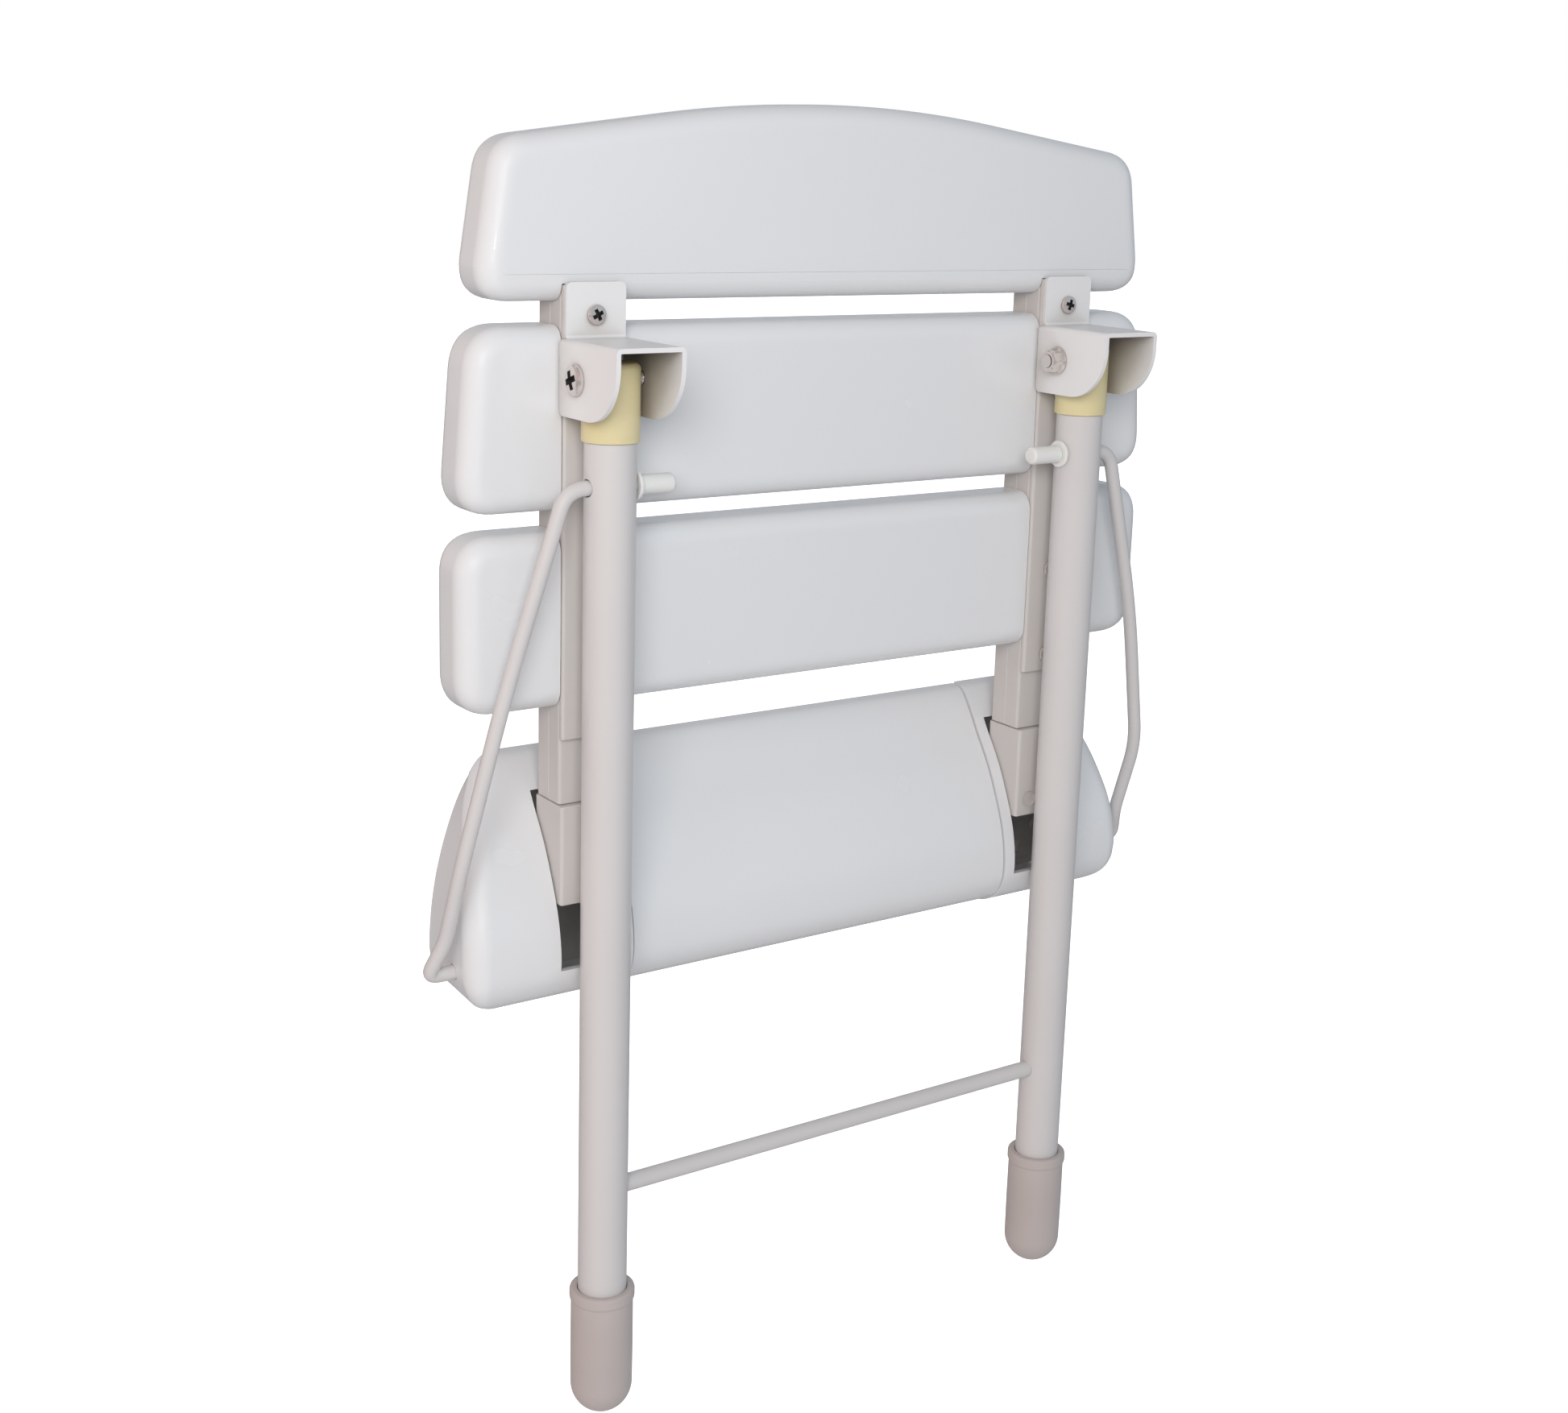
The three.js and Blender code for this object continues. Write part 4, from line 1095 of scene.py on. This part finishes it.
def make_screw(node, form, turn, to, sign):
    """form is (head, height, shank, length)."""
    body, recess = pan_screw(*form)
    made = new_object(f"fine_{node}", mirrored(placed(body, turn, to), sign))
    made.data.materials.append(FINISH[SLOT_OF[node]])
    # the faces of the cut cross take the near-black painted shade
    combine(made, mirrored(placed(recess, turn, to), sign), finish="painted_recess_shade")
    soften(made, SCREW_EDGE, degrees=40)
    stand_for(made, node)


def make_front_screws(side, sign):
    for name in ("tab_screw", "rail_screw_1", "rail_screw_2", "rail_screw_3"):
        low, high = in_mm(f"right_{name}")
        head = (high.x - low.x) / 2
        turn = Matrix.Rotation(math.radians(CROSS_TURN[side]), 3, "Y")
        seat = low.y + FRONT_SCREW["height"]
        form = (head, FRONT_SCREW["height"], FRONT_SCREW["shank"], high.y - seat)
        make_screw(f"{side}_{name}", form, turn, (ARM_X, seat, (low.z + high.z) / 2), sign)


def make_pivot_bolt(side, sign):
    low, high = in_mm("right_pivot_bolt")
    head = (high.z - low.z) / 2
    along_x = Matrix.Rotation(math.radians(90), 3, "Z")
    turn = along_x @ Matrix.Rotation(math.radians(BOLT["turn"]), 3, "Y")
    seat = high.x - BOLT["height"]
    form = (head, BOLT["height"], BOLT["shank"], seat - low.x)
    make_screw(f"{side}_pivot_bolt", form, turn, (seat, LEG_Y, PIVOT_Z), sign)


def make_pivot_nut(side, sign):
    """Hexagon nut with a chamfered free end and a round flange against the cheek."""
    low, high = in_mm("right_pivot_nut")
    flange = (high.z - low.z) / 2
    corner = NUT["flats"] / math.sqrt(3)
    turns = [math.pi / 3 * k for k in range(6)]
    hexagon = [(LEG_Y + corner * math.cos(a), PIVOT_Z + corner * math.sin(a)) for a in turns]
    prism = loft([[(x, y, z) for y, z in hexagon] for x in (low.x, high.x - NUT["lip"])])
    made = new_object(f"fine_{side}_pivot_nut", mirrored(prism, sign))

    def trim(profile, how):
        combine(made, mirrored(turned(profile, (0, LEG_Y, PIVOT_Z), "X", ROD_ROUND), sign), how)

    crown = [(radius, low.x + inside) for radius, inside in NUT_CROWN]
    trim([*crown, (NUT_CROWN[-1][0], high.x), (0, high.x)], "INTERSECT")
    skirt_top = high.x - NUT_SKIRT["height"]
    trim([
        (0, skirt_top), (NUT_SKIRT["top"], skirt_top), (flange - NUT["bevel"], high.x - NUT["slope"]),
        (flange, high.x - NUT["lip"]), (flange, high.x), (0, high.x)], "UNION")
    bore = rod_x(NUT["bore"], low.x - PAST, high.x + PAST, LEG_Y, PIVOT_Z)
    combine(made, mirrored(bore, sign))
    soften(made, NUT_EDGE, degrees=30)
    stand_for(made, f"{side}_pivot_nut")


# ---- pieces that keep their CAD shape -------------------------------------------
def dress_hidden_pieces():
    """Hinge, plate and rivets keep their CAD solids, with softened edges and a real finish."""
    hidden = ["wall_plate"]
    for side in SIDES:
        hidden += [f"{side}_{n}" for n in ("hinge_lug", "link_ear", "axle", "link_clip")]
        hidden += [f"{side}_rivet_{k}" for k in RIVETS]
    for node in hidden:
        kept = frame["nodes"][node]
        kept.data.materials.clear()
        kept.data.materials.append(FINISH[SLOT_OF[node]])
        edge = kept.modifiers.new("soft_edges", "BEVEL")
        edge.width = HIDDEN_EDGE * MM
        edge.segments = 2
        edge.limit_method = "ANGLE"
        edge.angle_limit = math.radians(50)


# ---- stage ----------------------------------------------------------------------
def make_camera():
    data = bpy.data.cameras.new("camera")
    data.lens = CAMERA_LENS
    data.sensor_width = CAMERA_SENSOR
    data.sensor_fit = "HORIZONTAL"
    data.shift_x, data.shift_y = CAMERA_SHIFT
    data.clip_start, data.clip_end = CAMERA_CLIP
    made = bpy.data.objects.new("camera", data)
    bpy.context.scene.collection.objects.link(made)
    turn = (
        Matrix.Rotation(math.radians(-CAMERA_YAW), 4, "Z")
        @ Matrix.Rotation(math.radians(90 - CAMERA_PITCH), 4, "X")
        @ Matrix.Rotation(math.radians(CAMERA_ROLL), 4, "Z"))
    made.matrix_world = Matrix.Translation(CAMERA_AT) @ turn
    bpy.context.scene.camera = made


def make_light(name, at, size, watts, colour, glossy):
    data = bpy.data.lights.new(name, "AREA")
    data.shape = "RECTANGLE"
    data.size, data.size_y = size
    data.energy = watts
    data.color = colour
    made = bpy.data.objects.new(name, data)
    bpy.context.scene.collection.objects.link(made)
    made.location = at
    made.rotation_euler = (Vector(LIGHT_AIM) - Vector(at)).to_track_quat("-Z", "Y").to_euler()
    made.visible_glossy = glossy


def make_floor():
    half = FLOOR_HALF / MM
    corners = [(-half, -half, 0), (half, -half, 0), (half, half, 0), (-half, half, 0)]
    floor = new_object("floor", (corners, [(0, 1, 2, 3)]))
    floor.location.z = FLOOR_Z
    pale = bpy.data.materials.new("pale_floor")
    pale.use_nodes = True
    shader = pale.node_tree.nodes["Principled BSDF"]
    shader.inputs["Base Color"].default_value = (FLOOR_GREY, FLOOR_GREY, FLOOR_GREY, 1)
    shader.inputs["Roughness"].default_value = FLOOR_ROUGHNESS
    shader.inputs["Emission Color"].default_value = WHITE
    seen = pale.node_tree.nodes.new("ShaderNodeLightPath")
    pale.node_tree.links.new(seen.outputs["Is Camera Ray"], shader.inputs["Emission Strength"])
    floor.data.materials.append(pale)


def make_world():
    """A pale room: cool light from the front, the right and behind, warm from the left."""
    world = bpy.data.worlds.new("pale_room")
    bpy.context.scene.world = world
    world.use_nodes = True
    nodes, links = world.node_tree.nodes, world.node_tree.links
    sky = nodes["Background"]
    coords = nodes.new("ShaderNodeTexCoord")
    parts = nodes.new("ShaderNodeSeparateXYZ")
    links.new(coords.outputs["Generated"], parts.inputs[0])
    total = None
    for axis, factor, colour in ROOM_GLOW:
        share = nodes.new("ShaderNodeMath")
        share.operation = "MULTIPLY"
        share.use_clamp = True
        share.inputs[1].default_value = factor
        links.new(parts.outputs[axis], share.inputs[0])
        tint = nodes.new("ShaderNodeVectorMath")
        tint.operation = "SCALE"
        tint.inputs[0].default_value = colour
        links.new(share.outputs[0], tint.inputs["Scale"])
        add = nodes.new("ShaderNodeVectorMath")
        add.operation = "ADD"
        if total:
            links.new(total.outputs[0], add.inputs[0])
        else:
            add.inputs[0].default_value = ROOM_BASE
        links.new(tint.outputs[0], add.inputs[1])
        total = add
    seen = nodes.new("ShaderNodeLightPath")
    plain = nodes.new("ShaderNodeMix")
    plain.data_type = "RGBA"
    links.new(seen.outputs["Is Camera Ray"], plain.inputs["Factor"])
    links.new(total.outputs[0], plain.inputs["A"])
    plain.inputs["B"].default_value = WHITE
    links.new(plain.outputs["Result"], sky.inputs["Color"])


def make_stage():
    make_floor()
    make_world()
    for name, light in LIGHTS.items():
        make_light(name, *light)
    bpy.context.scene.view_settings.view_transform = "Standard"


def make_object():
    for node in SLATS:
        make_slat(node)
    make_cover()
    make_cross_rod()
    for side, sign in SIDES.items():
        for make in (
            make_cap, make_arm, make_rail, make_knuckle, make_bracket, make_leg, make_plug, make_foot,
            make_link, make_washer, make_sleeve, make_front_screws, make_pivot_bolt, make_pivot_nut,
        ):
            make(side, sign)
    dress_hidden_pieces()


make_camera()
make_object()
make_stage()
